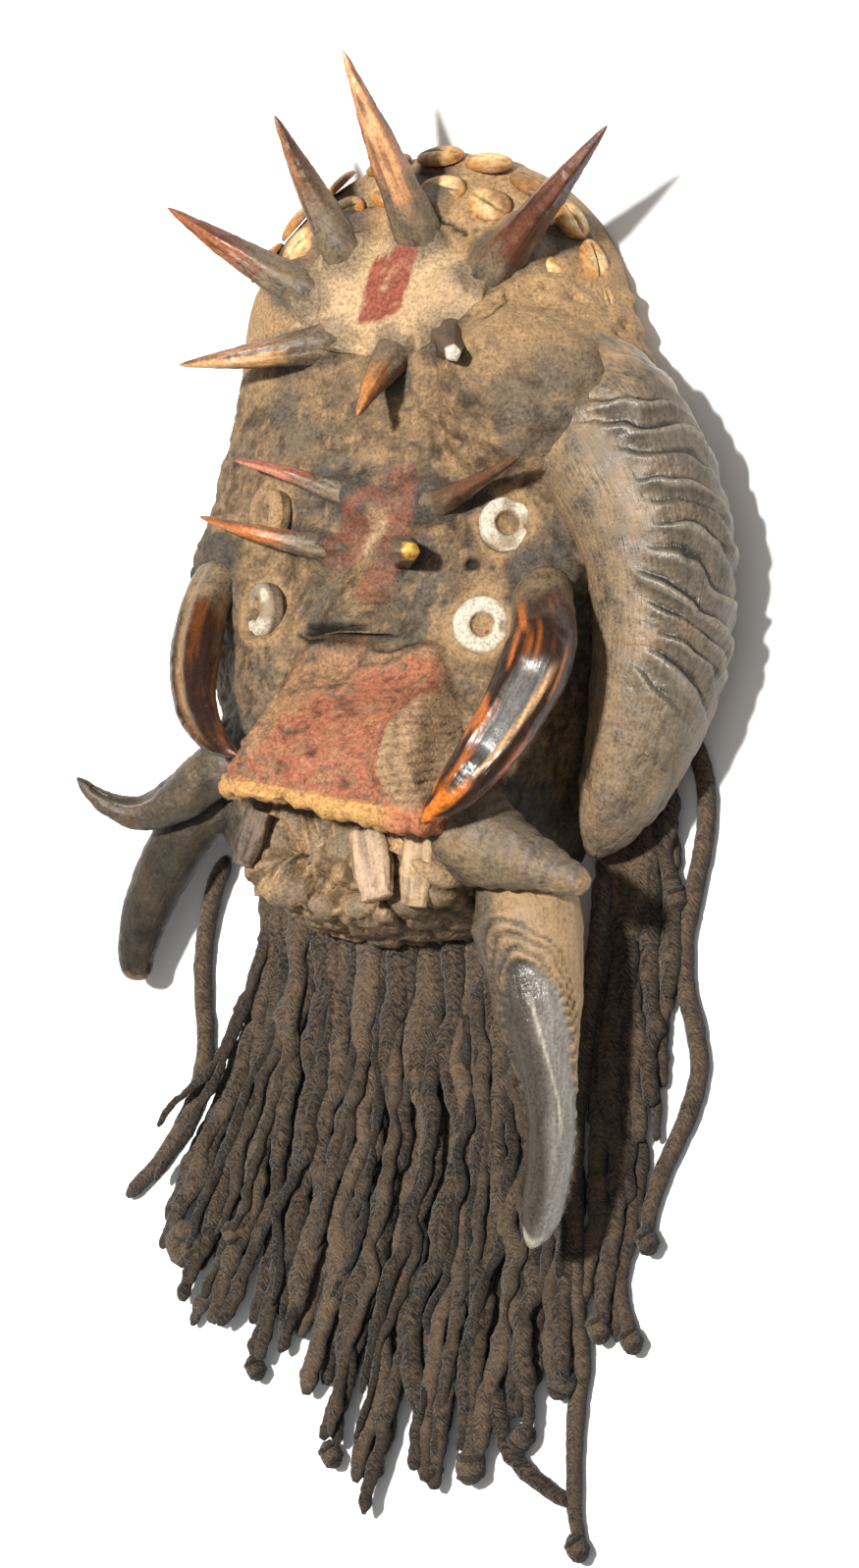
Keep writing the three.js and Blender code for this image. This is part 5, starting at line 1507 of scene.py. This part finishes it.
class MASK_OT_tusks(MaskPiece, bpy.types.Operator):
    """Makes the two tusks that curve in over the muzzle"""
    bl_idname = "mask.tusks"
    bl_label = "Tusks"

    def make(self, look, sizes):
        material = horn_finish("tusk", 0.7, 0.3, look, 0.27, 0.8, Coat_Weight=0.1, Coat_Roughness=0.25)
        for name, seed in (("tusk_right", 1), ("tusk_left", 2)):
            body = Sweep(**HORNS[name], rings=220, sides=56)
            p = body.skin
            right = seed == 1
            facet = self.facet(body) if right else np.zeros_like(body.share)
            groove = np.exp(-((body.angle - 1.3) / 0.2) ** 2) * smooth_step(0.08, 0.2, body.share)
            groove = 0 if right else groove
            groove = groove * (1 - smooth_step(0.7, 0.9, body.share)) * np.ones_like(body.share)
            body.push((0.5 * rough_noise(p, 8, seed) + 0.2 * rough_noise(p, 2.5, seed + 4, 2))
                      * (1 - 0.8 * facet)
                      - 2.2 * facet - 1.4 * groove)
            tint, dust = self.paint(body, p, look, facet, groove, right)
            tusk = body.build(name.replace("tusk", "tusk_worn"), material, tint, dust)
            hand_over(tusk, "tusk", name)

    def facet(self, body):
        """The flat worn face towards the viewer."""
        across = 1 - smooth_step(0.42, 0.56, np.abs(body.angle - 1.75 + 1.2 * (body.share - 0.6)))
        return across * smooth_step(0.42, 0.5, body.share) * (1 - smooth_step(0.72, 0.78, body.share))

    def paint(self, body, p, look, facet, groove, right):
        amber = look.tusk_amber
        root = 1 - smooth_step(0.15, 0.34, body.share + 0.05 * soft_noise(p, 8, 5))
        streak = soft_noise(body.lay * (1, 1, 0.09), 3.2, 6)
        streak = streak + 0.5 * soft_noise(body.lay * (1, 1, 0.09), 1.4, 7)
        tip = smooth_step(0.8, 0.93, body.share)
        middle = 1.75 - 1.2 * (body.share - 0.6)
        rim = np.exp(-((body.angle - middle - 0.49) / 0.07) ** 2) * smooth_step(0.42, 0.5, body.share)
        rim = rim * (1 - smooth_step(0.76, 0.84, body.share)) * (1 if right else 0)
        tint = tinted(
            look.tusk_dark,
            (amber * (1 if right else 0.5),
             (0.9 if right else 0.5) * smooth_step(0.0, 0.5, streak) * (1 - root)),
            (look.grey * 0.6, 0.85 * root),
            (TUSK_FACET, 0.95 * facet),
            (TUSK_RIM, 0.9 * rim),
            (amber * 1.5, (0.8 if right else 0.15) * tip * smooth_step(-0.5, 0.4, streak)),
            (look.dust * 0.8, 0.7 * groove),
        )
        dust = 0.35 * root + 0.2 * groove
        return tint, np.clip(dust, 0, 1)


# The colour of each spike's end, and the share of its length where that begins
SPIKE_ENDS = {
    "crown_spike_1": ((140, 84, 50), 0.42), "crown_spike_2": ((136, 94, 64), 0.5),
    "crown_spike_3": ((204, 150, 106), 0.34), "crown_spike_4": ((98, 58, 40), 0.2),
    "crown_spike_5": ((190, 144, 98), 0.36), "crown_spike_6": ((168, 112, 64), 0.45),
    "crown_spike_7": ((74, 58, 48), 0.3), "brow_spike_upper_left": ((186, 122, 98), 0.45),
    "brow_spike_lower_left": ((180, 110, 62), 0.4), "brow_spike_right": ((92, 60, 42), 0.3),
    "bridge_peg": ((205, 164, 70), 0.86),
}


class MASK_OT_spikes(MaskPiece, bpy.types.Operator):
    """Makes the spikes of the crown and the brow, and the peg on the bridge"""
    bl_idname = "mask.spikes"
    bl_label = "Spikes"

    def make(self, look, sizes):
        material = horn_finish("spike", 0.55, 0.4, look, 0.35, 0.9)
        for number, (name, spike) in enumerate(SPIKES.items()):
            half, tip = spike["half"], spike["tip"]
            root, bend = np.array(spike["path"][0]), np.array(spike["path"][1])
            foot = root - 0.5 * (bend - root) - (0, 0, 7)
            sunk = np.linalg.norm(root - foot)
            sunk /= sunk + np.linalg.norm(bend - root) + np.linalg.norm(np.array(spike["path"][2]) - bend)
            girths = [(0, 0.95), (0.1, 1), (0.28, 0.86), (0.6, 0.56 + 0.04 * tip)]
            middle = [(mix(sunk, 1, share), half * girth) for share, girth in girths]
            stations = [(0, 0.25 * half), *middle, (1, tip)]
            body = Sweep([tuple(foot), *spike["path"]], stations, rings=120, sides=42, blunt=tip > 1)
            body.share = (body.share - sunk) / (1 - sunk)
            p = body.skin
            facets = 5 + number % 3
            turn = (body.angle + number) % (2 * math.pi / facets) - math.pi / facets
            flat = (math.cos(math.pi / facets) / np.cos(turn) - 1) * smooth_step(0.05, 0.4, body.share)
            flutes = soft_noise(body.lay * (1, 1, 0.08) + number, 3.0, number + 60)
            base = 1 - smooth_step(0.3, 0.6, body.share)
            body.push((body.wide + body.deep) / 2 * flat * 0.9 + 0.9 * flutes * base
                      + 0.4 * rough_noise(p, 5, number) + 0.25 * rough_noise(p, 2, number + 9, 2))
            (red, green, blue), begins = SPIKE_ENDS[name]
            end_tint = colour(red, green, blue)
            streak = soft_noise(body.lay * (1, 1, 0.1), 2.4, number + 30)
            reached = body.share + 0.1 * soft_noise(p, 7, number + 20) + 0.1 * streak
            end = smooth_step(begins - 0.1, begins + 0.16, reached)
            lit_facet = smooth_step(0.5, 0.9, np.cos(body.angle - 1.9 - 0.5 * math.sin(number * 2.0)))
            tint = tinted(
                look.spike,
                (look.grime_and_shade * 1.2, 0.6 * smooth_step(-0.1, 0.5, flutes)),
                (look.grey * 0.8, 0.6 * (1 - smooth_step(0.15, 0.35, body.share))),
                # Painted light and shade: a darker copy of the end's colour, and the full colour on the facet
                # towards the light.
                (end_tint * (0.45, 0.36, 0.32), 0.9 * end),
                (end_tint * 1.1, 0.9 * end * np.clip(lit_facet + 0.5 * streak, 0, 1)),
                (look.grime_and_shade, 0.55 * end * smooth_step(0.25, 0.6, -streak)),
                (look.chalk * 0.9, (name == "crown_spike_7") * smooth_step(0.93, 0.97, body.share)),
            )
            dust = 0.2 + 0.15 * rough_noise(p, 5, number + 40) - 0.22 * end
            made = body.build(f"{name}_worn", material, tint, np.clip(dust, 0, 1))
            hand_over(made, "spike", name)


class MASK_OT_eye_rings(MaskPiece, bpy.types.Operator):
    """Makes the four chalk rings that stand for eyes"""
    bl_idname = "mask.eye_rings"
    bl_label = "Eye rings"
    PROFILE = [(0, -5), (12, -5), (12.6, -1), (12.7, 1.5), (12.0, 3.6), (10.6, 4.7), (8.6, 5.0), (6.6, 4.9),
               (5.4, 4.2), (4.7, 2.9), (4.0, 2.3), (2.4, 2.1), (0, 2.0)]

    def make(self, look, sizes):
        material = crust_finish("chalk", 0.8, 0.5, look, Specular_IOR_Level=0.25)
        for number, (name, ring) in enumerate(EYE_RINGS.items()):
            hand_over(self.ring(f"{name}_chalk", number, ring, look, material), "chalk", name)

    def ring(self, name, number, ring, look, material):
        fine = smooth_line([(r, 0, z) for r, z in self.PROFILE], 0.5)
        sides = 64
        turn = np.arange(sides) / sides * 2 * np.pi
        grid = np.stack([fine[:, None, 0] * np.cos(turn), fine[:, None, 0] * np.sin(turn),
                         fine[:, None, 2] + 0 * turn], axis=-1)
        seat = np.array(ring["place"] + (head_height(*ring["place"]),))
        seed = grid + seat
        radius = np.repeat(fine[:, :1], sides, axis=1)
        height = np.repeat(fine[:, 2:], sides, axis=1)
        clay = 1 - smooth_step(4.4, 6.2, radius + 0.8 * soft_noise(seed, 3, number))
        worn = smooth_step(0.1, 0.5, soft_noise(seed, 9, number + 5) + ring["worn"] - 0.35)
        swell = 0.05 * soft_noise(seed, 12, number + 7) + 0.03 * soft_noise(seed, 4, number + 8)
        grid[..., :2] *= 1 + swell[..., None]
        faded = smooth_step(0.3, 0.6, ring["worn"] + 0.25 * soft_noise(seed, 7, number + 3))
        bumps = 0.5 * rough_noise(seed, 4, number + 9) - 0.9 * worn - 1.5 * faded
        grid[..., 2] += bumps * smooth_step(-2, 2, height)
        facing = np.array(ring["facing"]) / np.linalg.norm(ring["facing"])
        side = unit(np.cross((0, 1.0, 0), facing))
        up = np.cross(facing, side)
        points = seat + grid[..., :1] * side + grid[..., 1:2] * up + grid[..., 2:] * facing
        tint = tinted(
            np.ones((*radius.shape, 3)) * look.chalk,
            (look.grey * 1.9, 0.7 * worn),
            (mix(look.crown, look.lip, 0.3) * 0.8, 0.9 * faded),
            (look.crown * 0.75, clay),
            # Painted shade round the outer foot of the ring.
            (look.grime_and_shade * 1.5, 0.75 * (1 - smooth_step(-1, 2.2, height)) * (radius > 9)),
        )
        rows = len(fine)
        values = {"paint": tint.reshape(-1, 3),
                  "dust": np.clip(0.05 + 0.25 * clay + 0.3 * worn, 0, 1).ravel()}
        made = make_object(name, points.reshape(-1, 3), grid_faces(rows, sides, wrap=True), material, values)
        return close_and_smooth(made)


class MASK_OT_teeth(MaskPiece, bpy.types.Operator):
    """Makes the three rough pegs that stand for teeth"""
    bl_idname = "mask.teeth"
    bl_label = "Teeth"
    TINTS = {"tooth_left": (0.055, 0.03, 0.02), "tooth_middle": (0.4, 0.27, 0.18),
             "tooth_right": (0.36, 0.24, 0.13)}

    def make(self, look, sizes):
        material = horn_finish("tooth", 0.8, 0.6, look, 0.5, 0.92)
        for number, (name, tooth) in enumerate(TEETH.items()):
            wide, deep = tooth["half"]
            top, bottom = np.array(tooth["top"]), np.array(tooth["bottom"])
            stations = [(0, wide * 0.85, deep), (0.5, wide, deep), (1, wide * 0.7, deep * 0.7)]
            body = Sweep([tuple(top), tuple((top + bottom) / 2), tuple(bottom)], stations, rings=80,
                         sides=40, blunt=True)
            p = body.skin
            grain = soft_noise(body.lay * (1, 1, 0.08), 1.8, number)
            squared = 0.12 * (body.wide + body.deep) / 2 * np.cos(4 * body.angle)
            ragged = smooth_step(0.85, 1, body.share) * 1.5 * soft_noise(p, 2.4, number + 3)
            body.push(0.55 * grain - squared + 0.5 * rough_noise(p, 4, number + 5) + ragged)
            tint = tinted(
                np.array(self.TINTS[name]),
                (look.grime_and_shade * 1.3, 0.6 * smooth_step(0.1, 0.6, -grain)),
                (look.tooth, 0.3 * smooth_step(0, 0.6, rough_noise(p, 5, number + 7))),
            )
            made = body.build(f"{name}_worn", material, tint, np.full(body.share.shape, 0.1), tucked=False)
            hand_over(made, "tooth", name)


# Cowries: one shell, set on points round the crown
def cowrie_mesh(material, look, length):
    """One shell on its flat back, with its slit towards the viewer; 1 is its length."""
    rows, sides = 24, 36
    reach = np.linspace(0, 1, rows)[:, None]
    turn = np.linspace(0, 2 * np.pi, sides, endpoint=False)[None, :]
    polar = reach * 0.56 * np.pi
    x = 0.5 * np.sin(np.minimum(polar, np.pi / 2)) * np.cos(turn)
    y = 0.36 * np.sin(np.minimum(polar, np.pi / 2)) * np.sin(turn)
    y = y * (1 - 0.34 * x)
    z = 0.175 * np.cos(polar) + 0 * turn
    slit_reach = 1 - smooth_step(0.34, 0.47, np.abs(x))
    slit = np.exp(-((y - 0.015) / 0.022) ** 2) * slit_reach
    teeth = np.exp(-(y / 0.075) ** 2) * slit_reach * np.sin(x * 95) * 0.5 * (1 - slit)
    z = z - 0.07 * slit + 0.013 * teeth - 0.02 * np.exp(-(y / 0.1) ** 2) * slit_reach
    side = smooth_step(0.35, 0.95, np.hypot(x / 0.5, y / 0.36) + 0 * z)
    tint = tinted(
        np.ones((*z.shape, 3)) * look.shell_pale,
        (look.shell_amber, 0.9 * side * smooth_step(-0.6, 0.3, y + 0.3 * np.sin(9 * x))),
        (look.shell_amber * 0.8, 0.5 * side * smooth_step(0.6, -0.5, y)),
        (look.shell_amber * 0.75, 0.35 * smooth_step(0.1, 0.9, -teeth)),
        (look.shell_amber * 0.3, 0.75 * smooth_step(0.9, 1.0, np.hypot(x / 0.5, y / 0.36) + 0 * z)),
        (look.grime_and_shade * 0.8, 0.9 * slit),
    )
    points = np.stack([x + 0 * z, y + 0 * z, z], axis=-1).reshape(-1, 3)
    mesh = bpy.data.meshes.new("cowrie_pattern")
    mesh.from_pydata((points * length).tolist(), [], grid_faces(rows, sides, wrap=True) + [
        tuple((rows - 1) * sides + corner for corner in range(sides))])
    dust = np.clip(0.05 * side + 0 * z, 0, 1)
    keep_values(mesh, {"paint": tint.reshape(-1, 3), "dust": dust.ravel()})
    mesh.materials.append(material)
    shell = bpy.data.objects.new("cowrie_pattern", mesh)
    bpy.context.scene.collection.objects.link(shell)
    return close_and_smooth(shell)


def cowrie_tree():
    inputs = [
        ("Places", "NodeSocketGeometry", None), ("Shell", "NodeSocketObject", None),
        ("Uneven size", "NodeSocketFloat", 0.12), ("Uneven turn", "NodeSocketFloat", 0.16),
        ("Seed", "NodeSocketInt", 4), ("Enamel", "NodeSocketMaterial", None),
    ]
    tree, nodes, given, result = open_group(
        "Set shells", inputs, [("Shells", "NodeSocketGeometry")], "GeometryNodeTree")
    tree.is_modifier = True
    shell = nodes.add("GeometryNodeObjectInfo", {"Object": given["Shell"]}, output="Geometry")
    facing = nodes.add("GeometryNodeInputNamedAttribute", {"Name": "facing"}, data_type="FLOAT_VECTOR")
    lying = nodes.add("GeometryNodeInputNamedAttribute", {"Name": "lying"}, data_type="FLOAT_VECTOR")
    upright = nodes.add("FunctionNodeAxesToRotation", {"Primary Axis": facing, "Secondary Axis": lying},
                        primary_axis="Z", secondary_axis="X")
    spread = nodes.add("FunctionNodeRandomValue", {2: -1.0, 3: 1.0, "Seed": given["Seed"]}, output=1)
    swing = nodes.math("MULTIPLY", spread, given["Uneven turn"])
    turned = nodes.add("FunctionNodeEulerToRotation",
                       {"Euler": nodes.add("ShaderNodeCombineXYZ", {"Z": swing})})
    rotation = nodes.add("FunctionNodeRotateRotation", {"Rotation": upright, "Rotate By": turned},
                         rotation_space="LOCAL")
    bigger = nodes.math("MULTIPLY_ADD", nodes.add("FunctionNodeRandomValue", {
        2: -1.0, 3: 1.0, "Seed": nodes.math("ADD", given["Seed"], 7.0)}, output=1), given["Uneven size"],
        0.97)
    placed_shells = nodes.add("GeometryNodeInstanceOnPoints", {
        "Points": given["Places"], "Instance": shell, "Rotation": rotation, "Scale": bigger})
    body = nodes.add("GeometryNodeRealizeInstances", {"Geometry": placed_shells})
    body = nodes.add("GeometryNodeSetMaterial", {"Geometry": body, "Material": given["Enamel"]})
    tree.links.new(body, result.inputs["Shells"])
    return tree


class MASK_OT_cowries(MaskPiece, bpy.types.Operator):
    """Sets the cowries in two arcs round the crown"""
    bl_idname = "mask.cowries"
    bl_label = "Cowries"
    LIFT = 1.5

    def make(self, look, sizes):
        places, facings, lyings = [], [], []
        skin = HeadSkin()
        skin.relief()
        ground = skin.flat.reshape(-1, 3)
        lumps = np.clip((skin.lumps - skin.ramp) * skin.rim, -1, 12).ravel()
        for row in COWRIE_ROWS:
            for angle in np.radians(np.linspace(row["start"], row["end"], row["count"])):
                x = midline(CROWN_CENTRE_Y) + math.cos(angle) * HALF_WIDTH["crown"] * row["reach"]
                y = CROWN_CENTRE_Y + math.sin(angle) * CROWN_ROUND * row["reach"]
                normal = head_normal(np.array(x), np.array(y))
                below = np.argmin(np.hypot(ground[:, 0] - x, ground[:, 1] - y))
                places.append(np.array((x, y, head_height(x, y))) + normal * (self.LIFT + lumps[below]))
                facings.append(normal)
                lyings.append((-math.sin(angle), math.cos(angle), 0))
        material = crust_finish("cowrie", 2.0, 0.3, look, Coat_Weight=0.15, Coat_Roughness=0.3)
        shell = cowrie_mesh(material, look, sizes.cowrie_length)
        made = make_object("cowries", np.array(places), [], None, {"facing": facings, "lying": lyings})
        run_tree(made, cowrie_tree(), shell=shell, uneven_size=0.08, uneven_turn=0.12, seed=4,
                 enamel=material)
        bpy.data.objects.remove(shell)
        self.stain(made.data, look)
        count = sum(row["count"] for row in COWRIE_ROWS)
        hand_over(made, "cowrie", *[f"cowrie_{number:02d}" for number in range(1, count + 1)])

    def stain(self, mesh, look):
        """Amber and brown stains that differ from shell to shell."""
        paint = np.empty(len(mesh.vertices) * 4)
        place = np.empty(len(mesh.vertices) * 3)
        mesh.attributes["paint"].data.foreach_get("color", paint)
        mesh.vertices.foreach_get("co", place)
        paint = paint.reshape(-1, 4)
        place = place.reshape(-1, 3) / MM
        stain = smooth_step(-0.3, 0.3, rough_noise(place, 17, 6))
        stain = stain * smooth_step(-0.7, 0.2, soft_noise(place, 4, 8))
        brown = smooth_step(0.1, 0.4, rough_noise(place, 24, 16))
        paint[:, :3] = tinted(paint[:, :3], (look.shell_amber, 0.8 * stain),
                              (look.shell_amber * 0.35, 0.7 * brown))
        mesh.attributes["paint"].data.foreach_set("color", paint.ravel())


# The beard: strands tied round the chin, in two layers, and a few beside the ram horn
CHIN_TIE = {"start": 200, "end": 338, "offset": -7}
BEARD_LAYERS = {
    "beard_lower": {"z": 4.6, "root_z": 9, "count": 28, "gather": 0.6, "shorter": 14},
    "beard_upper": {"z": 12.2, "root_z": 18.5, "count": 26, "gather": 1, "shorter": 0},
}
# Where the strands gather at the lower edge: place, and its part of the strands, in 27ths
CLUMPS = [(-131, -329, 2), (-119, -350, 2), (-105, -364, 2), (-84, -380, 2), (-70, -372, 2), (-57, -386, 2),
          (-44, -412, 3), (-27, -440, 2), (5, -428, 3), (27, -420, 3), (50, -402, 2), (68, -384, 2)]
SIDE_BAND = [(120, -82), (110, -98), (94, -124)]
SIDE_TIPS = [(121, -198), (118, -238), (112, -246), (113, -262), (107, -262), (104, -300), (99, -290),
             (93, -352), (87, -346), (82, -332), (75, -340)]
SIDE_HEIGHTS = (8.5, 4.2)
CURLED_ENDS = [
    [(-104, -292, 12), (-112, -312, 12), (-121, -326, 11), (-124, -318, 13), (-115, -312, 15),
     (-110, -322, 14)],
    [(-84, -296, 13), (-92, -318, 13), (-100, -336, 12), (-112, -348, 9), (-118, -358, 6)],
    [(38, -376, 12), (42, -398, 9), (50, -412, 6), (62, -421, 5), (74, -426, 5)],
]
WISPS = 20
WISP_HEIGHT = 15.5
WISP_SWAY = 12
WISP_GIRTH = 0.6
# Wound lumps: place, size and the way they point
LUMPS = [((-117, -321, 10), 13, 1.9), ((-93, -313, 14), 11, -1.4), ((-84, -376, 8), 11, -1.3),
         ((-45, -413, 8), 12, -1.2), ((-24, -416, 8), 12, -0.9), ((5, -414, 9), 14, -1.5),
         ((26, -412, 10), 16, -1.8), ((50, -398, 8), 13, 0.6), ((70, -372, 9), 14, 0.9),
         ((87, -346, 8), 13, -1.4), ((110, -306, 8), 12, -1.3), ((124, -154, 8), 11, -1.5)]


def chin_point(lane, z):
    angle = math.radians(mix(CHIN_TIE["start"], CHIN_TIE["end"], lane))
    x = midline(CHIN_CENTRE_Y) + math.cos(angle) * (HALF_WIDTH["chin"] + CHIN_TIE["offset"])
    y = CHIN_CENTRE_Y + math.sin(angle) * (CHIN_ROUND + CHIN_TIE["offset"])
    return np.array((x, y, z), dtype=float)


def tip_point(lane, number, gather, shorter):
    """Where a strand ends, evenly spread and then drawn in to its clump; the clump's middle hangs lowest."""
    shares = np.cumsum([0] + [count for *_, count in CLUMPS]) / sum(count for *_, count in CLUMPS)
    middles = (shares[1:] + shares[:-1]) / 2
    index = min(int(np.searchsorted(shares, lane, side="right")) - 1, len(CLUMPS) - 1)
    x, y, count = CLUMPS[index]
    side = 2 * (lane - shares[index]) / (shares[index + 1] - shares[index]) - 1
    even = np.interp(lane, middles, [clump[0] for clump in CLUMPS])
    y += shorter + 9 * abs(side) + 4 + 4 * math.sin(number * 2.4)
    return even, mix(even, x + 2.2 * count * side, gather), y


def hanging_line(root, tip, layer_z, number):
    """A strand that falls from the chin and spreads out to its tip, with the waves of matted fibre."""
    even, gathered, end = tip
    corners = []
    for share in (0, 0.14, 0.3, 0.46, 0.62, 0.8, 1):
        y = mix(root[1], end, share)
        settled = float(smooth_step(0, 62, root[1] - y))
        corners.append((mix(root[0], even, share ** 1.6), y, mix(root[2], layer_z, settled)))
    line = smooth_line(corners, STRAND_STEP)
    shares = np.linspace(0, 1, len(line))
    loose = smooth_step(0, 50, root[1] - line[:, 1])
    near = np.stack([line[:, 0] * 0.5, line[:, 1], np.full(len(line), layer_z)], axis=1)
    own = np.stack([line[:, 1], np.full(len(line), number * 37.0), line[:, 2] * 0], axis=1)
    wander = (5.0 * soft_noise(near, 45, 1) + 4.5 * soft_noise(own, 38, 2) + 2.8 * soft_noise(own, 15, 4)
              + 1.0 * soft_noise(own, 7, 5))
    calmer = 1 - 0.6 * smooth_step(0.75, 1, shares)
    drawn_in = smooth_step(0.68, 0.97, shares) * (gathered - even)
    line[:, 0] += loose * calmer * wander + drawn_in
    line[:, 2] += loose * 2.6 * soft_noise(own, 30, 3)
    line[:, 2] = np.maximum(line[:, 2], STRAND_REST)
    return line


class MASK_OT_beard(MaskPiece, bpy.types.Operator):
    """Makes the beard of matted strands, with the knots and curls at its ends"""
    bl_idname = "mask.beard"
    bl_label = "Beard"

    def make(self, look, sizes):
        for name, layer in BEARD_LAYERS.items():
            strands = []
            for number in range(layer["count"]):
                lane = (number + 0.5) / layer["count"]
                root = chin_point(lane, layer["root_z"] + 1.5 * math.sin(number * 2.1))
                tip = tip_point(lane, number + layer["count"], layer["gather"], layer["shorter"])
                line = hanging_line(root, tip, layer["z"], number + layer["count"])
                strands.append(self.strand(line, number, sizes))
            if name == "beard_upper":
                strands += [self.strand(smooth_line(line, STRAND_STEP), 60 + index, sizes)
                            for index, line in enumerate(CURLED_ENDS)]
                strands += [self.wisp(number, sizes) for number in range(WISPS)]
            self.mass(name, strands, look, sizes)
        side = []
        band = smooth_line([(*corner, 10) for corner in SIDE_BAND], 0.5)
        for number, (x, y) in enumerate(SIDE_TIPS):
            z = SIDE_HEIGHTS[number % 2]
            root = band[number * (len(band) - 1) // (len(SIDE_TIPS) - 1)]
            side.append(self.strand(hanging_line(root, (x, x, y), z, 90 + number), number, sizes))
        self.mass("beard_side", side, look, sizes)
        hand_over(knot_object("beard_knots", LUMPS, look), "fibre")

    def wisp(self, number, sizes):
        """A thin strand that wanders over the others."""
        lane = (number + 0.3 + 0.4 * math.sin(number * 4.1)) / WISPS
        top = chin_point(lane, 17)
        even, gathered, end = tip_point(lane, number, 1, 30 + 25 * math.sin(number * 1.7))
        even = mix(even, gathered, 0.5) + WISP_SWAY * math.sin(number * 2.9)
        line = hanging_line(top, (even, gathered, end), WISP_HEIGHT, 120 + number)
        made = self.strand(line, number, sizes)
        made["girth"] *= WISP_GIRTH
        return made

    def strand(self, line, number, sizes):
        wide = 0.95 + 0.2 * math.sin(number * 3.3)
        girth = girth_along(len(line), sizes.strand_radius * wide, 1.2, 0.75)
        girth = girth * (1 + 0.26 * soft_noise(line + (0, 0, number * 31.0), 17, 9)
                         + 0.14 * soft_noise(line + (0, 0, number * 17.0), 6, 10))
        sandy = 0.22 if number % 7 == 3 else 0
        return {"points": line, "girth": girth, "shade": 0.32 + sandy + 0.14 * math.sin(number * 1.9)}

    def mass(self, name, strands, look, sizes):
        made = line_object(f"fibre_{name}", strands)
        run_tree(made, strand_tree(), flatness=sizes.strand_flatness, lump_height=0.0032, lump_size=0.01,
                 seed=1.0, fibre=fibre(look))
        hand_over(made, "fibre", name)


PIECES = (
    MASK_OT_stage, MASK_OT_free_strands, MASK_OT_head, MASK_OT_ram_horn, MASK_OT_dark_horns, MASK_OT_tusks,
    MASK_OT_spikes, MASK_OT_eye_rings, MASK_OT_teeth, MASK_OT_cowries, MASK_OT_beard,
)


class MASK_PT_panel(bpy.types.Panel):
    """Lists the pieces of the mask with their colours and sizes"""
    bl_label = "Horned mask"
    bl_idname = "MASK_PT_panel"
    bl_space_type = "VIEW_3D"
    bl_region_type = "UI"
    bl_category = "Mask"

    def draw(self, context):
        for piece in PIECES:
            self.layout.operator(piece.bl_idname)
        for settings in (context.scene.mask_sizes, context.scene.mask_look):
            box = self.layout.box()
            for name in settings.__annotations__:
                box.prop(settings, name)


CLASSES = (MASK_PG_look, MASK_PG_sizes, *PIECES, MASK_PT_panel)


def register():
    for kind in CLASSES:
        bpy.utils.register_class(kind)
    bpy.types.Scene.mask_look = bpy.props.PointerProperty(type=MASK_PG_look)
    bpy.types.Scene.mask_sizes = bpy.props.PointerProperty(type=MASK_PG_sizes)


def unregister():
    del bpy.types.Scene.mask_sizes
    del bpy.types.Scene.mask_look
    for kind in reversed(CLASSES):
        bpy.utils.unregister_class(kind)


def main():
    register()
    for piece in PIECES:
        group, name = piece.bl_idname.split(".")
        getattr(getattr(bpy.ops, group), name)()


if __name__ == "__main__":
    main()
